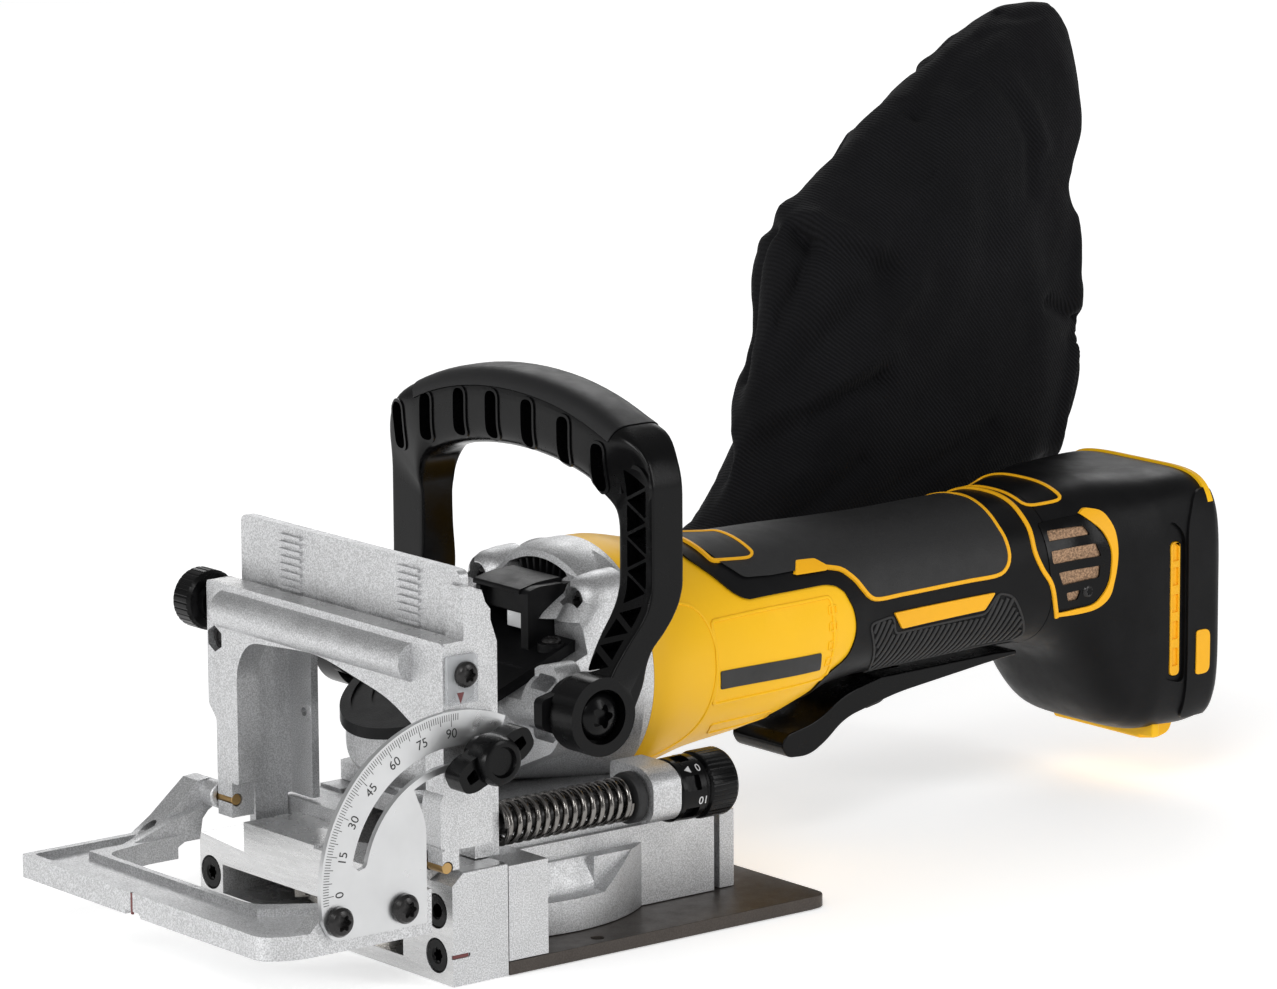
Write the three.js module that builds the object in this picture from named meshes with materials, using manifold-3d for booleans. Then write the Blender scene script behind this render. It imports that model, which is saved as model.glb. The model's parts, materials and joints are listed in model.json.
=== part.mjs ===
// A cordless biscuit joiner: base and dust bag, height slide, tilting fence, and the plunging motor carriage.
// Millimetres. +Z is up, -Y is forward (the working face), +X is the tool's left side.
// The origin is on the shoe's underside, straight below the blade's axis with the carriage at rest.
import * as THREE from "three";
import { mergeVertices } from "three/addons/utils/BufferGeometryUtils.js";
import Module from "manifold-3d";

const wasm = await Module();
wasm.setup();

function rad(degrees) {
  return (degrees * Math.PI) / 180;
}

// ---- Driving dimensions ----
const GAP = 0.3; // between touching pieces
const BASE_LEFT = 79.5;
const BASE_RIGHT = -65.5;
const FACE_Y = -54; // the working face
const FACE_BLOCK_BACK = -31.3;
const SHOE_BACK = 106;
const SHOE_THICK = 4.5;
const BLOCK_TOP = 38;
const BLADE_Z = 10;
const BLADE_RADIUS = 50;
const SLOT_HALF = 52;
const SLOT_HEIGHT = 10;
const PLUNGE = 20;
const BOX_TOP = 33; // deck of the base casting
const RAIL_TOP = 38.2;
const BOX_HALF = 52;
const BOX_BACK = 78;
const BULGE = { x: 3, y: 10, r: 61 }; // the blade housing's bulge on the left side

const FRAME_LEFT = 79.6;
const FRAME_RIGHT = -54;
const FRAME_FRONT = -57;
const FRAME_BACK = -37.4;
const FRAME_TOP = 115;
const COLUMN_FOOT = 46;
const PLATE_FRONT = -46.5; // the rack plate of the upright
const PLATE_BACK = -42.7;
const PLATE_TOP = 137;
const RACK_X = [-18.5, 48];
const RACK_PITCH = 2.51; // the pinion's circumference over its eight teeth
const RACK_TEETH = 13;
const PINION_Z = 106;
const PINION_Y = -51.6;
const PINION_RADIUS = 3.2;

const PIVOT_Y = -55; // fence hinge
const PIVOT_Z = 40;
const FLAP_FRONT = -126;
const FLAP_UNDER = 20;
const FLAP_THICK = 8;
const SCALE_RADIUS = 53; // the protractor's outer edge
const LOCK_RADIUS = 38.5; // its arc slot
const LOCK_ANGLE = 76; // where the lock's stud stands, in degrees up from the rear
const TILT_RANGE = 90;
const STUD = { y: PIVOT_Y + LOCK_RADIUS * Math.cos(rad(LOCK_ANGLE)),
    z: PIVOT_Z + LOCK_RADIUS * Math.sin(rad(LOCK_ANGLE)) };

const MOTOR_Z = 80;
const CASE_FRONT = 60; // the flange between gearcase and motor case
const CASE_BACK = 158;
const GRIP_BACK = 252;
const FOOT_BACK = 327;
const FOOT_HALF = 40;

const HUB = { y: 14, z: 79, r: 13.4 };
const HANDLE_HALF = 73;
const LEG_THICK = 18;
const LEG_FRONT = 35;
const LEG_BACK = 48.5;
const ARCH_CREST = 184;

const PIN_HOLE = 2.3;
const SCALE_SCREWS = [[-101.5, 31], [-75.5, 31]];
const POINTER = { y: -49.5, z: 104.5 };
const WASHER_IN = 55; // the handle's washers stand between these two distances from the middle
const WASHER_OUT = 59.7;
const PADDLE_HALF = 14;

const ROD_X = 65;
const ROD_Z = 47.5;
const ROD_RADIUS = 4;
const BOSS_FRONT = 33;
const BOSS_BACK = 45;
const TURRET_BACK = 70;

// ---- Solids ----
function closedSolid(geometry) {
  geometry.deleteAttribute("normal");
  geometry.deleteAttribute("uv");
  const merged = mergeVertices(geometry, 1e-4);
  const source = merged.index.array;
  const faces = [];
  for (let i = 0; i < source.length; i += 3) {
    const [a, b, c] = [source[i], source[i + 1], source[i + 2]];
    if (a !== b && b !== c && c !== a) faces.push(a, b, c);
  }
  const build = (list) =>
    new wasm.Manifold(
      new wasm.Mesh({
        numProp: 3,
        vertProperties: new Float32Array(merged.attributes.position.array),
        triVerts: new Uint32Array(list),
      }),
    );
  const made = build(faces);
  if (made.volume() > 0) return made;
  const flipped = [];
  for (let i = 0; i < faces.length; i += 3) flipped.push(faces[i], faces[i + 2], faces[i + 1]);
  return build(flipped);
}

const union = (...list) => list.reduce((sum, next) => sum.add(next));
const cut = (body, ...tools) => tools.reduce((left, tool) => left.subtract(tool), body);

function box(x0, x1, y0, y1, z0, z1) {
  const g = new THREE.BoxGeometry(x1 - x0, y1 - y0, z1 - z0);
  g.translate((x0 + x1) / 2, (y0 + y1) / 2, (z0 + z1) / 2);
  return closedSolid(g);
}

// A round bar along an axis: from and to are its ends on that axis, u and v its centre on the other two.
function bar(axis, u, v, from, to, radius, segments = 16, endRadius = radius) {
  const g = new THREE.CylinderGeometry(endRadius, radius, to - from, segments);
  g.translate(0, (from + to) / 2, 0);
  return closedSolid(placeAxis(g, axis, u, v));
}

// Turns a geometry built along Y so that it runs along the axis, through (u, v).
function placeAxis(g, axis, u, v) {
  if (axis === "x") {
    g.rotateZ(-Math.PI / 2);
    g.translate(0, u, v);
  } else if (axis === "z") {
    g.rotateX(Math.PI / 2);
    g.translate(u, v, 0);
  } else {
    g.translate(u, 0, v);
  }
  return g;
}

// A turned shape: profile points are [radius, place on the axis].
function turned(axis, u, v, profile, segments = 20) {
  const points = profile.map(([r, a]) => new THREE.Vector2(r, a));
  return closedSolid(placeAxis(new THREE.LatheGeometry(points, segments), axis, u, v));
}

// A closed outline whose corners are rounded by the radius in each point's third place.
function outline(points) {
  const shape = new THREE.Shape();
  const n = points.length;
  points.forEach(([x, y, radius = 0], i) => {
    const here = new THREE.Vector2(x, y);
    const before = new THREE.Vector2(...points[(i + n - 1) % n].slice(0, 2));
    const after = new THREE.Vector2(...points[(i + 1) % n].slice(0, 2));
    const toBefore = before.clone().sub(here);
    const toAfter = after.clone().sub(here);
    const reach = Math.min(radius, toBefore.length() * 0.49, toAfter.length() * 0.49);
    const start = here.clone().add(toBefore.setLength(reach));
    const end = here.clone().add(toAfter.setLength(reach));
    if (i === 0) shape.moveTo(start.x, start.y);
    else shape.lineTo(start.x, start.y);
    if (reach > 0) shape.quadraticCurveTo(here.x, here.y, end.x, end.y);
  });
  shape.closePath();
  return shape;
}

// Extrudes an outline along an axis: x takes (y, z) points, y takes (x, z) and z takes (x, y).
function prism(axis, points, from, to, curveSegments = 4) {
  const shape = points instanceof THREE.Shape ? points : outline(points);
  const g = new THREE.ExtrudeGeometry(shape, { depth: to - from, bevelEnabled: false, curveSegments });
  g.translate(0, 0, from);
  const turn = new THREE.Matrix4();
  const [X, Y, Z] = [new THREE.Vector3(1, 0, 0), new THREE.Vector3(0, 1, 0), new THREE.Vector3(0, 0, 1)];
  if (axis === "x") turn.makeBasis(Y, Z, X);
  if (axis === "y") turn.makeBasis(X, Z, Y.clone());
  g.applyMatrix4(turn);
  return closedSolid(g);
}

// Skins a list of rings, each with the same number of points, and closes both ends.
function loft(rings) {
  const n = rings[0].length;
  const position = rings.flat().flatMap((p) => [p.x, p.y, p.z]);
  const index = [];
  for (let r = 0; r + 1 < rings.length; r++) {
    for (let i = 0; i < n; i++) {
      const [a, b] = [r * n + i, r * n + ((i + 1) % n)];
      index.push(a, b, b + n, a, b + n, a + n);
    }
  }
  [rings[0], rings[rings.length - 1]].forEach((ring, end) => {
    const middle = position.length / 3;
    const centre = ring.reduce((sum, p) => sum.add(p), new THREE.Vector3()).divideScalar(n);
    position.push(centre.x, centre.y, centre.z);
    const base = end * (rings.length - 1) * n;
    for (let i = 0; i < n; i++) {
      const [a, b] = [base + i, base + ((i + 1) % n)];
      if (end) index.push(middle, a, b);
      else index.push(middle, b, a);
    }
  });
  const g = new THREE.BufferGeometry();
  g.setAttribute("position", new THREE.Float32BufferAttribute(position, 3));
  g.setIndex(index);
  return closedSolid(g);
}

// A rounded section across Y: half width, half height, its centre's height, and how square it is.
function section(y, halfWidth, halfHeight, z, square = 2.4, points = 28, x = 0) {
  return Array.from({ length: points }, (_, i) => {
    const angle = (i / points) * Math.PI * 2;
    const [c, s] = [Math.cos(angle), Math.sin(angle)];
    return new THREE.Vector3(
      x + halfWidth * Math.sign(c) * Math.abs(c) ** (2 / square),
      y,
      z + halfHeight * Math.sign(s) * Math.abs(s) ** (2 / square),
    );
  });
}

const loftAlongY = (rows, points = 28) =>
  loft(rows.map(([y, w, h, z, square]) => section(y, w, h, z, square, points)));

// ---- Scene graph ----
const joiner = new THREE.Group();
const finish = (color, roughness, metalness) => ({ color, roughness, metalness });
const CAST = finish(0xb9b9b6, 0.5, 0.8);
const STEEL = finish(0x9a968c, 0.3, 1);
const DARK_STEEL = finish(0x5f5650, 0.45, 0.8);
const YELLOW = finish(0xf5b51d, 0.45, 0);
const BLACK = finish(0x242325, 0.6, 0);
const RUBBER = finish(0x1c1c1d, 0.8, 0);
const FABRIC = finish(0x111214, 0.95, 0);
const BRASS = finish(0xb08a4a, 0.4, 0.9);
const CLEAR = finish(0xc9d2d6, 0.15, 0);

function part(name, look, body) {
  const mesh = body.getMesh();
  const g = new THREE.BufferGeometry();
  const places = new Float32Array(mesh.numVert * 3);
  for (let i = 0; i < mesh.numVert; i++) {
    places.set(mesh.vertProperties.subarray(i * mesh.numProp, i * mesh.numProp + 3), i * 3);
  }
  g.setAttribute("position", new THREE.BufferAttribute(places, 3));
  g.setIndex(new THREE.BufferAttribute(mesh.triVerts, 1));
  g.computeVertexNormals();
  const made = new THREE.Mesh(g, new THREE.MeshStandardMaterial(look));
  made.name = name;
  joiner.add(made);
}

// ---- Base ----
function makeShoe() {
  const plate = prism(
    "z",
    [
      [BASE_RIGHT, FACE_BLOCK_BACK + GAP],
      [BASE_LEFT, FACE_BLOCK_BACK + GAP],
      [BASE_LEFT, SHOE_BACK, 6],
      [BASE_RIGHT, SHOE_BACK, 6],
    ],
    0,
    SHOE_THICK,
  );
  return cut(plate, bar("z", 74, 10, -1, SHOE_THICK + 1, 2.3, 16));
}

const PINS = { anti_slip_pin_upper: [70.5, 24], anti_slip_pin_lower: [70.5, 9],
    anti_slip_pin_far: [-59, 11] };
const PIN_RADIUS = 5.6;

function makeFaceBlock() {
  const block = prism(
    "y",
    [
      [BASE_RIGHT, 0], [BASE_LEFT, 0], [BASE_LEFT, BLOCK_TOP, 1], [58, BLOCK_TOP, 1], [55, 31.5],
          [2, 31.5], [2, 32.5],
      [-39, 32.5], [-39, 22], [BASE_RIGHT, 24, 1],
    ],
    FACE_Y,
    FACE_BLOCK_BACK,
  );
  const chamfer = prism("x", [[FACE_Y - 1, BLOCK_TOP - 5], [FACE_Y + 6, BLOCK_TOP + 1],
      [FACE_Y - 1, BLOCK_TOP + 1]], 40, 90);
  const slot = box(
    -SLOT_HALF, SLOT_HALF, FACE_Y - 1, FACE_BLOCK_BACK + 1, BLADE_Z - SLOT_HEIGHT / 2,
        BLADE_Z + SLOT_HEIGHT / 2,
  );
  const spindleWay = bar("z", 0, -PLUNGE, BLADE_Z, BLOCK_TOP + 1, 18, 24);
  const index = prism("x", [[FACE_Y - 1, 9.3], [FACE_Y + 7, 9.3, 0.5], [FACE_Y + 7, 10.7, 0.5],
      [FACE_Y - 1, 10.7]],
    BASE_LEFT - 0.8, BASE_LEFT + 1);
  const pockets = Object.values(PINS).map(([x, z]) => bar("y", x, z, FACE_Y - 1, FACE_Y + 4,
      PIN_RADIUS + GAP, 24));
  return cut(block, chamfer, slot, spindleWay, index, ...pockets);
}

function makePin([x, z]) {
  const profile = [
    [0, 0.9], [2, 0.9], [2.4, 0.3], [PIN_RADIUS - 0.4, 0.3], [PIN_RADIUS, 0.7], [PIN_RADIUS, 3.7],
        [0, 3.7],
  ];
  return turned("y", x, z, profile.map(([r, a]) => [r, FACE_Y + a]), 24);
}

function makeBaseCasting() {
  const low = SHOE_THICK + GAP;
  const front = FACE_BLOCK_BACK + GAP;
  const rearOfBlock = -14.7;
  const block = box(BASE_RIGHT, BASE_LEFT, front, rearOfBlock, low, BLOCK_TOP - 1);
  const deck = box(-BOX_HALF, BOX_HALF, front, BOX_BACK, low, BOX_TOP);
  const disc = bar("z", BULGE.x, BULGE.y, low, 27, BULGE.r, 64);
  const bulge = disc.intersect(box(20, 70, -60, 70, 0, 30));
  const tail = box(-44, BOX_HALF - 1, BOX_BACK + 3.2, 87.5, low, BOX_TOP - 1);
  const tailLink = box(-40, BOX_HALF - 8, BOX_BACK - 1, BOX_BACK + 4, low, BOX_TOP - 2);
  const rails = [box(-49, -37, rearOfBlock, 72, BOX_TOP - 1, RAIL_TOP),
      box(38, 50, rearOfBlock, 72, BOX_TOP - 1, RAIL_TOP)];
  const blade = BLADE_RADIUS + 2.5;
  const room = union(
    bar("z", 0, 0, low - 1, 17, blade, 48),
    bar("z", 0, -PLUNGE, low - 1, 17, blade, 48),
    box(-blade, blade, -PLUNGE, 0, low - 1, 17),
  );
  const hub = union(
    bar("z", 0, 0, 10, BLOCK_TOP + 2, 18, 28),
    bar("z", 0, -PLUNGE, 10, BLOCK_TOP + 2, 18, 28),
    box(-18, 18, -PLUNGE, 0, 10, BLOCK_TOP + 2),
  );
  const keep = box(BASE_RIGHT, BASE_LEFT, front, SHOE_BACK, low, BLOCK_TOP + 1);
  const ledge = prism("y", [[54, 28], [70, 28], [70, 16], [58, 16.5], [54, 25]], rearOfBlock, 22);
  const scoop = prism("x", [[rearOfBlock, 28.5], [rearOfBlock, 16], [22, 16], [40, 28.5]], 57, 70);
  const dustWay = box(-BOX_HALF - 1, -30, 22, 50, 8, 26);
  const body = union(block, deck, bulge, tail, tailLink, ...rails).intersect(keep);
  return cut(body, room, hub, ledge, scoop, dustWay);
}

// ---- Upright with its racks, fixed to the base ----
function makeUpright() {
  const foot = BLOCK_TOP + GAP;
  const plate = prism("y", [[-48, 101, 2], [75, 101, 2], [75, PLATE_TOP, 3], [-48, PLATE_TOP, 3]],
      PLATE_FRONT, PLATE_BACK);
  const rib = prism(
    "x",
    [[-45, 23.4], [-31.6, 23.4], [-31.6, foot], [-27, foot], [-27, 112], [PLATE_BACK, 112],
        [PLATE_FRONT, 104], [PLATE_FRONT, 100], [-45, 88]],
    -48,
    -44.4,
  );
  const web = box(-45, -32, -30, -27, foot, 112);
  const lug = bar("y", -35.6, 68, -30.5, -27, 3.2, 20);
  const nearLeg = prism("x", [[-36.9, foot], [-27, foot], [-27, 110], [-33, 128], [-36.9, 128]], 58,
      69.2);
  const nearTop = box(58, 69.2, PLATE_BACK - 0.1, -36.8, 117, 128);
  const farTop = box(-48, -32, PLATE_BACK - 0.1, -27, 101, 112);
  const tooth = (x, z) => box(x - 6, x + 6, PLATE_FRONT - 1.1, PLATE_FRONT + 0.5, z - 0.55, z + 0.55);
  const rack = (x) => Array.from({ length: RACK_TEETH },
      (_, i) => tooth(x, PINION_Z + (i - 1) * RACK_PITCH));
  const teeth = RACK_X.flatMap(rack);
  return cut(union(plate, rib, web, lug, nearLeg, nearTop, farTop, ...teeth),
      bar("y", -35.6, 68, -32, -26, 1.6, 12));
}

// ---- Height slide: the gate that carries the fence ----
function makeSlideFrame() {
  const gate = prism("y", [
    [FRAME_RIGHT, 72, 1], [FRAME_RIGHT + 4.5, 67, 1], [FRAME_RIGHT + 4.5, 47, 1], [-37, 46, 1],
        [-37, 88, 8], [-30, 97, 8],
    [10, 100, 10], [50, 92, 8], [69.8, 82, 5], [69.8, COLUMN_FOOT], [FRAME_LEFT, COLUMN_FOOT],
        [FRAME_LEFT, FRAME_TOP, 2],
    [FRAME_RIGHT, FRAME_TOP, 2],
  ], FRAME_FRONT, -48);
  const tube = bar("x", FRAME_FRONT + 1.4, PINION_Z, FRAME_RIGHT + 9, 62.5, 6.6, 28);
  const column = prism("x", [
    [FRAME_FRONT + 1, COLUMN_FOOT], [FRAME_BACK, COLUMN_FOOT], [FRAME_BACK, 124], [-44, 132.5, 2],
        [-48.3, 132.5],
    [-48.3, FRAME_TOP], [FRAME_FRONT + 1, FRAME_TOP],
  ], 69.8, FRAME_LEFT);
  const lug = union(
    box(70.4, FRAME_LEFT - 1.2, FRAME_FRONT, -50.2, BLOCK_TOP + 1, COLUMN_FOOT + 1),
    bar("x", PIVOT_Y, PIVOT_Z + 2, 70.4, FRAME_LEFT - 1.2, 2, 20),
  );
  const boss = prism("x", [[FRAME_FRONT - 1.5, COLUMN_FOOT + 1, 1], [-44, COLUMN_FOOT + 1], [-44, 66],
      [FRAME_FRONT - 1.5, 66, 5]],
    69.8, FRAME_LEFT);
  const farLug = box(FRAME_RIGHT + 4.6, -41, FRAME_FRONT, -48.1, 34, 48);
  const plateWay = box(-49, 75.6, PLATE_FRONT - 1.6, PLATE_BACK + 0.6, 74, 140);
  const shaftWay = bar("x", PINION_Y, PINION_Z, FRAME_RIGHT - 1, 58, PINION_RADIUS + 1.2, 20);
  const stud = bar("x", STUD.y, STUD.z, 72, FRAME_LEFT + 1, 2.5 + GAP, 16);
  const pins = [
    bar("x", PIVOT_Y, PIVOT_Z, 68, FRAME_LEFT + 1, PIN_HOLE, 16),
    bar("x", PIVOT_Y, PIVOT_Z, FRAME_RIGHT - 1, -40, PIN_HOLE, 16),
  ];
  const pointerScrew = bar("x", POINTER.y, POINTER.z, 74, FRAME_LEFT + 1, 1.5 + GAP, 12);
  const hex = bar("y", -49.6, 95, FRAME_FRONT - 1, FRAME_FRONT + 3.3, 4.6, 6);
  const body = union(gate, tube, column, lug, boss, farLug);
  return cut(body, plateWay, shaftWay, hex, stud, pointerScrew, ...pins);
}

// ---- Depth stop: a rod in the base, a spring round it, and a turret on the carriage ----
function makeDepthRod() {
  return bar("y", ROD_X, ROD_Z, -26.7, BOSS_BACK + 1, ROD_RADIUS, 20);
}

function makePlungeSpring() {
  const turns = 12;
  const from = -26;
  const to = BOSS_FRONT - 5.2;
  const coil = 6.8;
  const wire = 0.95;
  class Helix extends THREE.Curve {
    getPoint(t, target = new THREE.Vector3()) {
      const angle = t * turns * Math.PI * 2;
      return target.set(
        ROD_X + coil * Math.cos(angle),
        from + wire + t * (to - from - 2 * wire),
        ROD_Z + coil * Math.sin(angle),
      );
    }
  }
  const wireShape = new THREE.Shape();
  wireShape.absarc(0, 0, wire, 0, Math.PI * 2);
  const g = new THREE.ExtrudeGeometry(wireShape, {
    steps: turns * 10,
    extrudePath: new Helix(),
    curveSegments: 2,
  });
  return closedSolid(g);
}

function makeTurret() {
  const grip = Array.from({ length: 12 }, (_, i) => {
    const angle = (i / 12) * Math.PI * 2;
    return bar("y", ROD_X + 11.7 * Math.cos(angle), ROD_Z + 11.7 * Math.sin(angle), 59, 68, 0.9, 4);
  });
  const body = turned("y", ROD_X, ROD_Z, [
    [4.6, BOSS_BACK + GAP], [10.8, BOSS_BACK + GAP], [11.2, 57], [11.7, 58], [11.7, 68.5],
        [10.7, TURRET_BACK],
    [0, TURRET_BACK], [0, TURRET_BACK - 3], [4.6, TURRET_BACK - 3], [4.6, BOSS_BACK + GAP],
  ], 24);
  return cut(body, ...grip);
}

function makeBumper() {
  return turned("y", ROD_X, ROD_Z, [[4.6, 28.3], [8.4, 28.3], [8.8, 29], [8.8, 32], [8.4, 32.7],
      [4.6, 32.7], [4.6, 28.3]]);
}

// ---- Height slide's small pieces ----
function makePinionShaft() {
  const shaft = bar("x", PINION_Y, PINION_Z, FRAME_RIGHT - 9, 57, PINION_RADIUS - 0.7, 20);
  const teeth = RACK_X.flatMap((x) =>
    Array.from({ length: 8 }, (_, i) => {
      const angle = ((i + 0.5) / 8) * Math.PI * 2;
      const [y, z] = [PINION_Y + 2.6 * Math.cos(angle), PINION_Z + 2.6 * Math.sin(angle)];
      return bar("x", y, z, x - 5, x + 5, 0.6, 4);
    }),
  );
  return union(shaft, ...teeth);
}

function makeHeightKnob() {
  const [inner, outer] = [FRAME_RIGHT - 1, FRAME_RIGHT - 14];
  const body = turned("x", PINION_Y, PINION_Z, [
    [PINION_RADIUS, inner], [6.4, inner], [6.4, inner - 2.5], [9.6, inner - 3], [10.3, inner - 4],
        [10.3, outer + 1],
    [9.3, outer], [0, outer], [0, FRAME_RIGHT - 9.4], [PINION_RADIUS, FRAME_RIGHT - 9.4],
        [PINION_RADIUS, inner],
  ], 24);
  const knurls = Array.from({ length: 12 }, (_, i) => {
    const angle = (i / 12) * Math.PI * 2;
    const [y, z] = [PINION_Y + 10.4 * Math.cos(angle), PINION_Z + 10.4 * Math.sin(angle)];
    return bar("x", y, z, outer - 1, inner - 3.5, 0.6, 4);
  });
  return cut(body, ...knurls);
}

function makePointer() {
  const plate = prism("x", [
    [POINTER.y - 7, POINTER.z - 10, 1], [POINTER.y + 5.6, POINTER.z - 10, 1],
        [POINTER.y + 5.6, POINTER.z + 6.5, 1],
    [POINTER.y - 7, POINTER.z + 6.5, 1],
  ], FRAME_LEFT + GAP, FRAME_LEFT + 1.8);
  return cut(plate, bar("x", POINTER.y, POINTER.z, FRAME_LEFT - 1, FRAME_LEFT + 3, 1.9, 16));
}

function makePointerScrew() {
  return turned("x", POINTER.y, POINTER.z, [
    [0, 75], [1.4, 75], [1.4, FRAME_LEFT + 2.1], [4.2, FRAME_LEFT + 2.1], [4.2, FRAME_LEFT + 3.4],
        [3, FRAME_LEFT + 4.4],
    [0, FRAME_LEFT + 4.7],
  ], 20);
}

function makeTiltStud() {
  return bar("x", STUD.y, STUD.z, 75.8, 84, 2.3, 16);
}

function makeTiltKnob() {
  const lobe = (sign) => {
    const [dy, dz] = [10.5 * Math.cos(rad(28)) * sign, 10.5 * Math.sin(rad(28)) * sign];
    return prism("x", [
      [STUD.y + dy * 1.35 - 4 * sign, STUD.z + dz * 1.35 + 4 * sign, 2],
      [STUD.y + dy * 1.35 + 1.5 * sign, STUD.z + dz * 1.35 + 1 * sign, 2.5],
      [STUD.y + dy * 1.35 + 1.8 * sign, STUD.z + dz * 1.35 - 5 * sign, 2.5],
      [STUD.y + dy * 0.3 + 2 * sign, STUD.z + dz * 0.3 - 6 * sign],
      [STUD.y - dy * 0.3, STUD.z - dz * 0.3],
      [STUD.y + dy * 0.3 - 2 * sign, STUD.z + dz * 0.3 + 6 * sign],
    ], 84.6, 94, 2);
  };
  const core = turned("x", STUD.y, STUD.z, [
    [2.9, 82.8], [6.2, 82.8], [6.6, 86], [8, 88], [8, 95], [7, 97], [4.6, 97], [4, 95.6], [0, 95.6],
        [0, 84.4], [2.9, 84.4],
    [2.9, 82.8],
  ], 20);
  const bore = bar("x", STUD.y, STUD.z, 82, 84.4, 2.9, 16);
  return cut(union(core, lobe(1), lobe(-1)), bore);
}

// ---- Fence ----
function makeFlap() {
  const top = FLAP_UNDER + FLAP_THICK;
  const plan = prism("z", [
    [BASE_RIGHT - 0.5, FLAP_FRONT, 1], [74, FLAP_FRONT, 5], [BASE_LEFT + 0.2, FLAP_FRONT + 12, 5],
    [BASE_LEFT + 0.2, -62.5], [58, -62.5], [58, -74], [52, -84], [38, -104, 6], [-48, -104, 6],
        [-52, -84], [-52, -72],
    [BASE_RIGHT - 0.5, -72],
  ], FLAP_UNDER, top);
  const dish = prism("z", [
    [BASE_RIGHT + 2.5, FLAP_FRONT + 3, 2], [71, FLAP_FRONT + 3, 3], [76, FLAP_FRONT + 13, 3],
        [76, -68], [62, -68],
    [62, -78], [44, -106.5], [-54.5, -106.5], [-54.5, -76], [BASE_RIGHT + 2.5, -76],
  ], top - 2.5, top + 1);
  const wall = prism("x", [
    [-112, top - 1], [-62.5, top - 1], [-62.5, 34.8], [-104, 34.8, 3],
  ], 72.5, BASE_LEFT + 0.2);
  const brace = prism("x", [
    [-88, top - 4], [-72, FLAP_UNDER + 0.5], [-64, FLAP_UNDER + 5], [-56, 33.6], [-50.6, 36.5],
        [-50.4, 41, 2],
    [-54, 45, 2], [-60, 44.5], [-74, 33],
  ], BASE_RIGHT - 0.5, -57);
  const rib = prism("x", [[-98, top - 3], [-62, top - 3], [-60, 36], [-74, 33]], -57.1, -53.5);
  const nearEar = prism("x", [
    [-72, FLAP_UNDER + 1], [-63, FLAP_UNDER + 3], [-58, 33.5], [-50.6, 37], [-50.4, 41, 2],
        [-54, 45, 2], [-60, 44], [-72, 32],
  ], 60, 69.4);
  const mark = box(-0.6, 0.6, FLAP_FRONT - 1, FLAP_FRONT + 0.8, FLAP_UNDER - 1, top);
  const notch = prism("y", [[-4, FLAP_UNDER - 1], [6, FLAP_UNDER - 1], [4, FLAP_UNDER + 1.6],
      [-4, FLAP_UNDER + 1.6]],
    FLAP_FRONT - 1, FLAP_FRONT + 4);
  const holes = [
    bar("x", PIVOT_Y, PIVOT_Z, 59, 71, PIN_HOLE, 16),
    bar("x", PIVOT_Y, PIVOT_Z, BASE_RIGHT - 2, -53, PIN_HOLE, 16),
    ...SCALE_SCREWS.map(([y, z]) => bar("x", y, z, 73.5, 82, 1.8, 12)),
    bar("y", -61, 30, -80, -62, 2.4, 12),
  ];
  const body = union(cut(plan, dish), wall, brace, rib, nearEar);
  return cut(body, mark, notch, ...holes);
}

function makeProtractor() {
  const at = (radius, angle) => [PIVOT_Y + radius * Math.cos(rad(angle)),
      PIVOT_Z + radius * Math.sin(rad(angle))];
  const sweep = (radius, from, to, count) =>
    Array.from({ length: count + 1 }, (_, i) => at(radius, from + ((to - from) * i) / count));
  const slotEnd = LOCK_ANGLE + TILT_RANGE + 1;
  const plate = [
    ...sweep(SCALE_RADIUS, 190, 66, 28),
    ...sweep(33.3, 66, 118, 10),
    [PIVOT_Y - 11, PIVOT_Z + 18, 4],
    [PIVOT_Y - 11, PIVOT_Z - 15.5, 1],
    [PIVOT_Y - 49, PIVOT_Z - 15.5, 3],
  ];
  const slot = [
    ...sweep(LOCK_RADIUS + 2.9, LOCK_ANGLE - 1, slotEnd, 22),
    at(LOCK_RADIUS, slotEnd + 4),
    ...sweep(LOCK_RADIUS - 2.9, slotEnd, LOCK_ANGLE - 1, 22),
    at(LOCK_RADIUS, LOCK_ANGLE - 5),
  ];
  const holes = SCALE_SCREWS.map(([y, z]) => bar("x", y, z, 79, 84, 2.2, 16));
  return cut(prism("x", plate, BASE_LEFT + 0.5, BASE_LEFT + 2.5), prism("x", slot, 79, 84), ...holes);
}

function makeScaleScrew([y, z]) {
  const under = BASE_LEFT + 2.8;
  return turned("x", y, z, [
    [0, 74], [1.5, 74], [1.5, under], [4.9, under], [4.9, under + 1.6], [3.8, under + 2.9],
        [1.8, under + 3.1],
    [1.6, under + 1.8], [0, under + 1.8],
  ], 16);
}

// ---- Dust port, collar and bag, on the base's right side ----
const DUST = { x: -74, neckY: 123, neckZ: 60 };

function pipe(points, radius) {
  const path = new THREE.CatmullRomCurve3(points.map((p) => new THREE.Vector3(...p)));
  const ring = new THREE.Shape();
  ring.absarc(0, 0, radius, 0, Math.PI * 2);
  return closedSolid(new THREE.ExtrudeGeometry(ring, { steps: 8, extrudePath: path, curveSegments: 6 }));
}

function makeDustPort() {
  const route = [[-50, 36, 20], [-60, 40, 20], [-69, 58, 24], [DUST.x, 86, 36], [DUST.x, 108, 48]];
  const inner = [[-47, 35, 20], ...route.slice(1, 4), [DUST.x, 112, 50.5]];
  const duct = pipe(route, 13);
  const flange = box(-BOX_HALF - 4.5, -BOX_HALF - GAP, 18, 54, 5.2, 32.5);
  const trim = box(-BOX_HALF - GAP, 0, 0, 80, 0, 60);
  return cut(union(duct, flange), trim, pipe(inner, 10.5));
}

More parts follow.
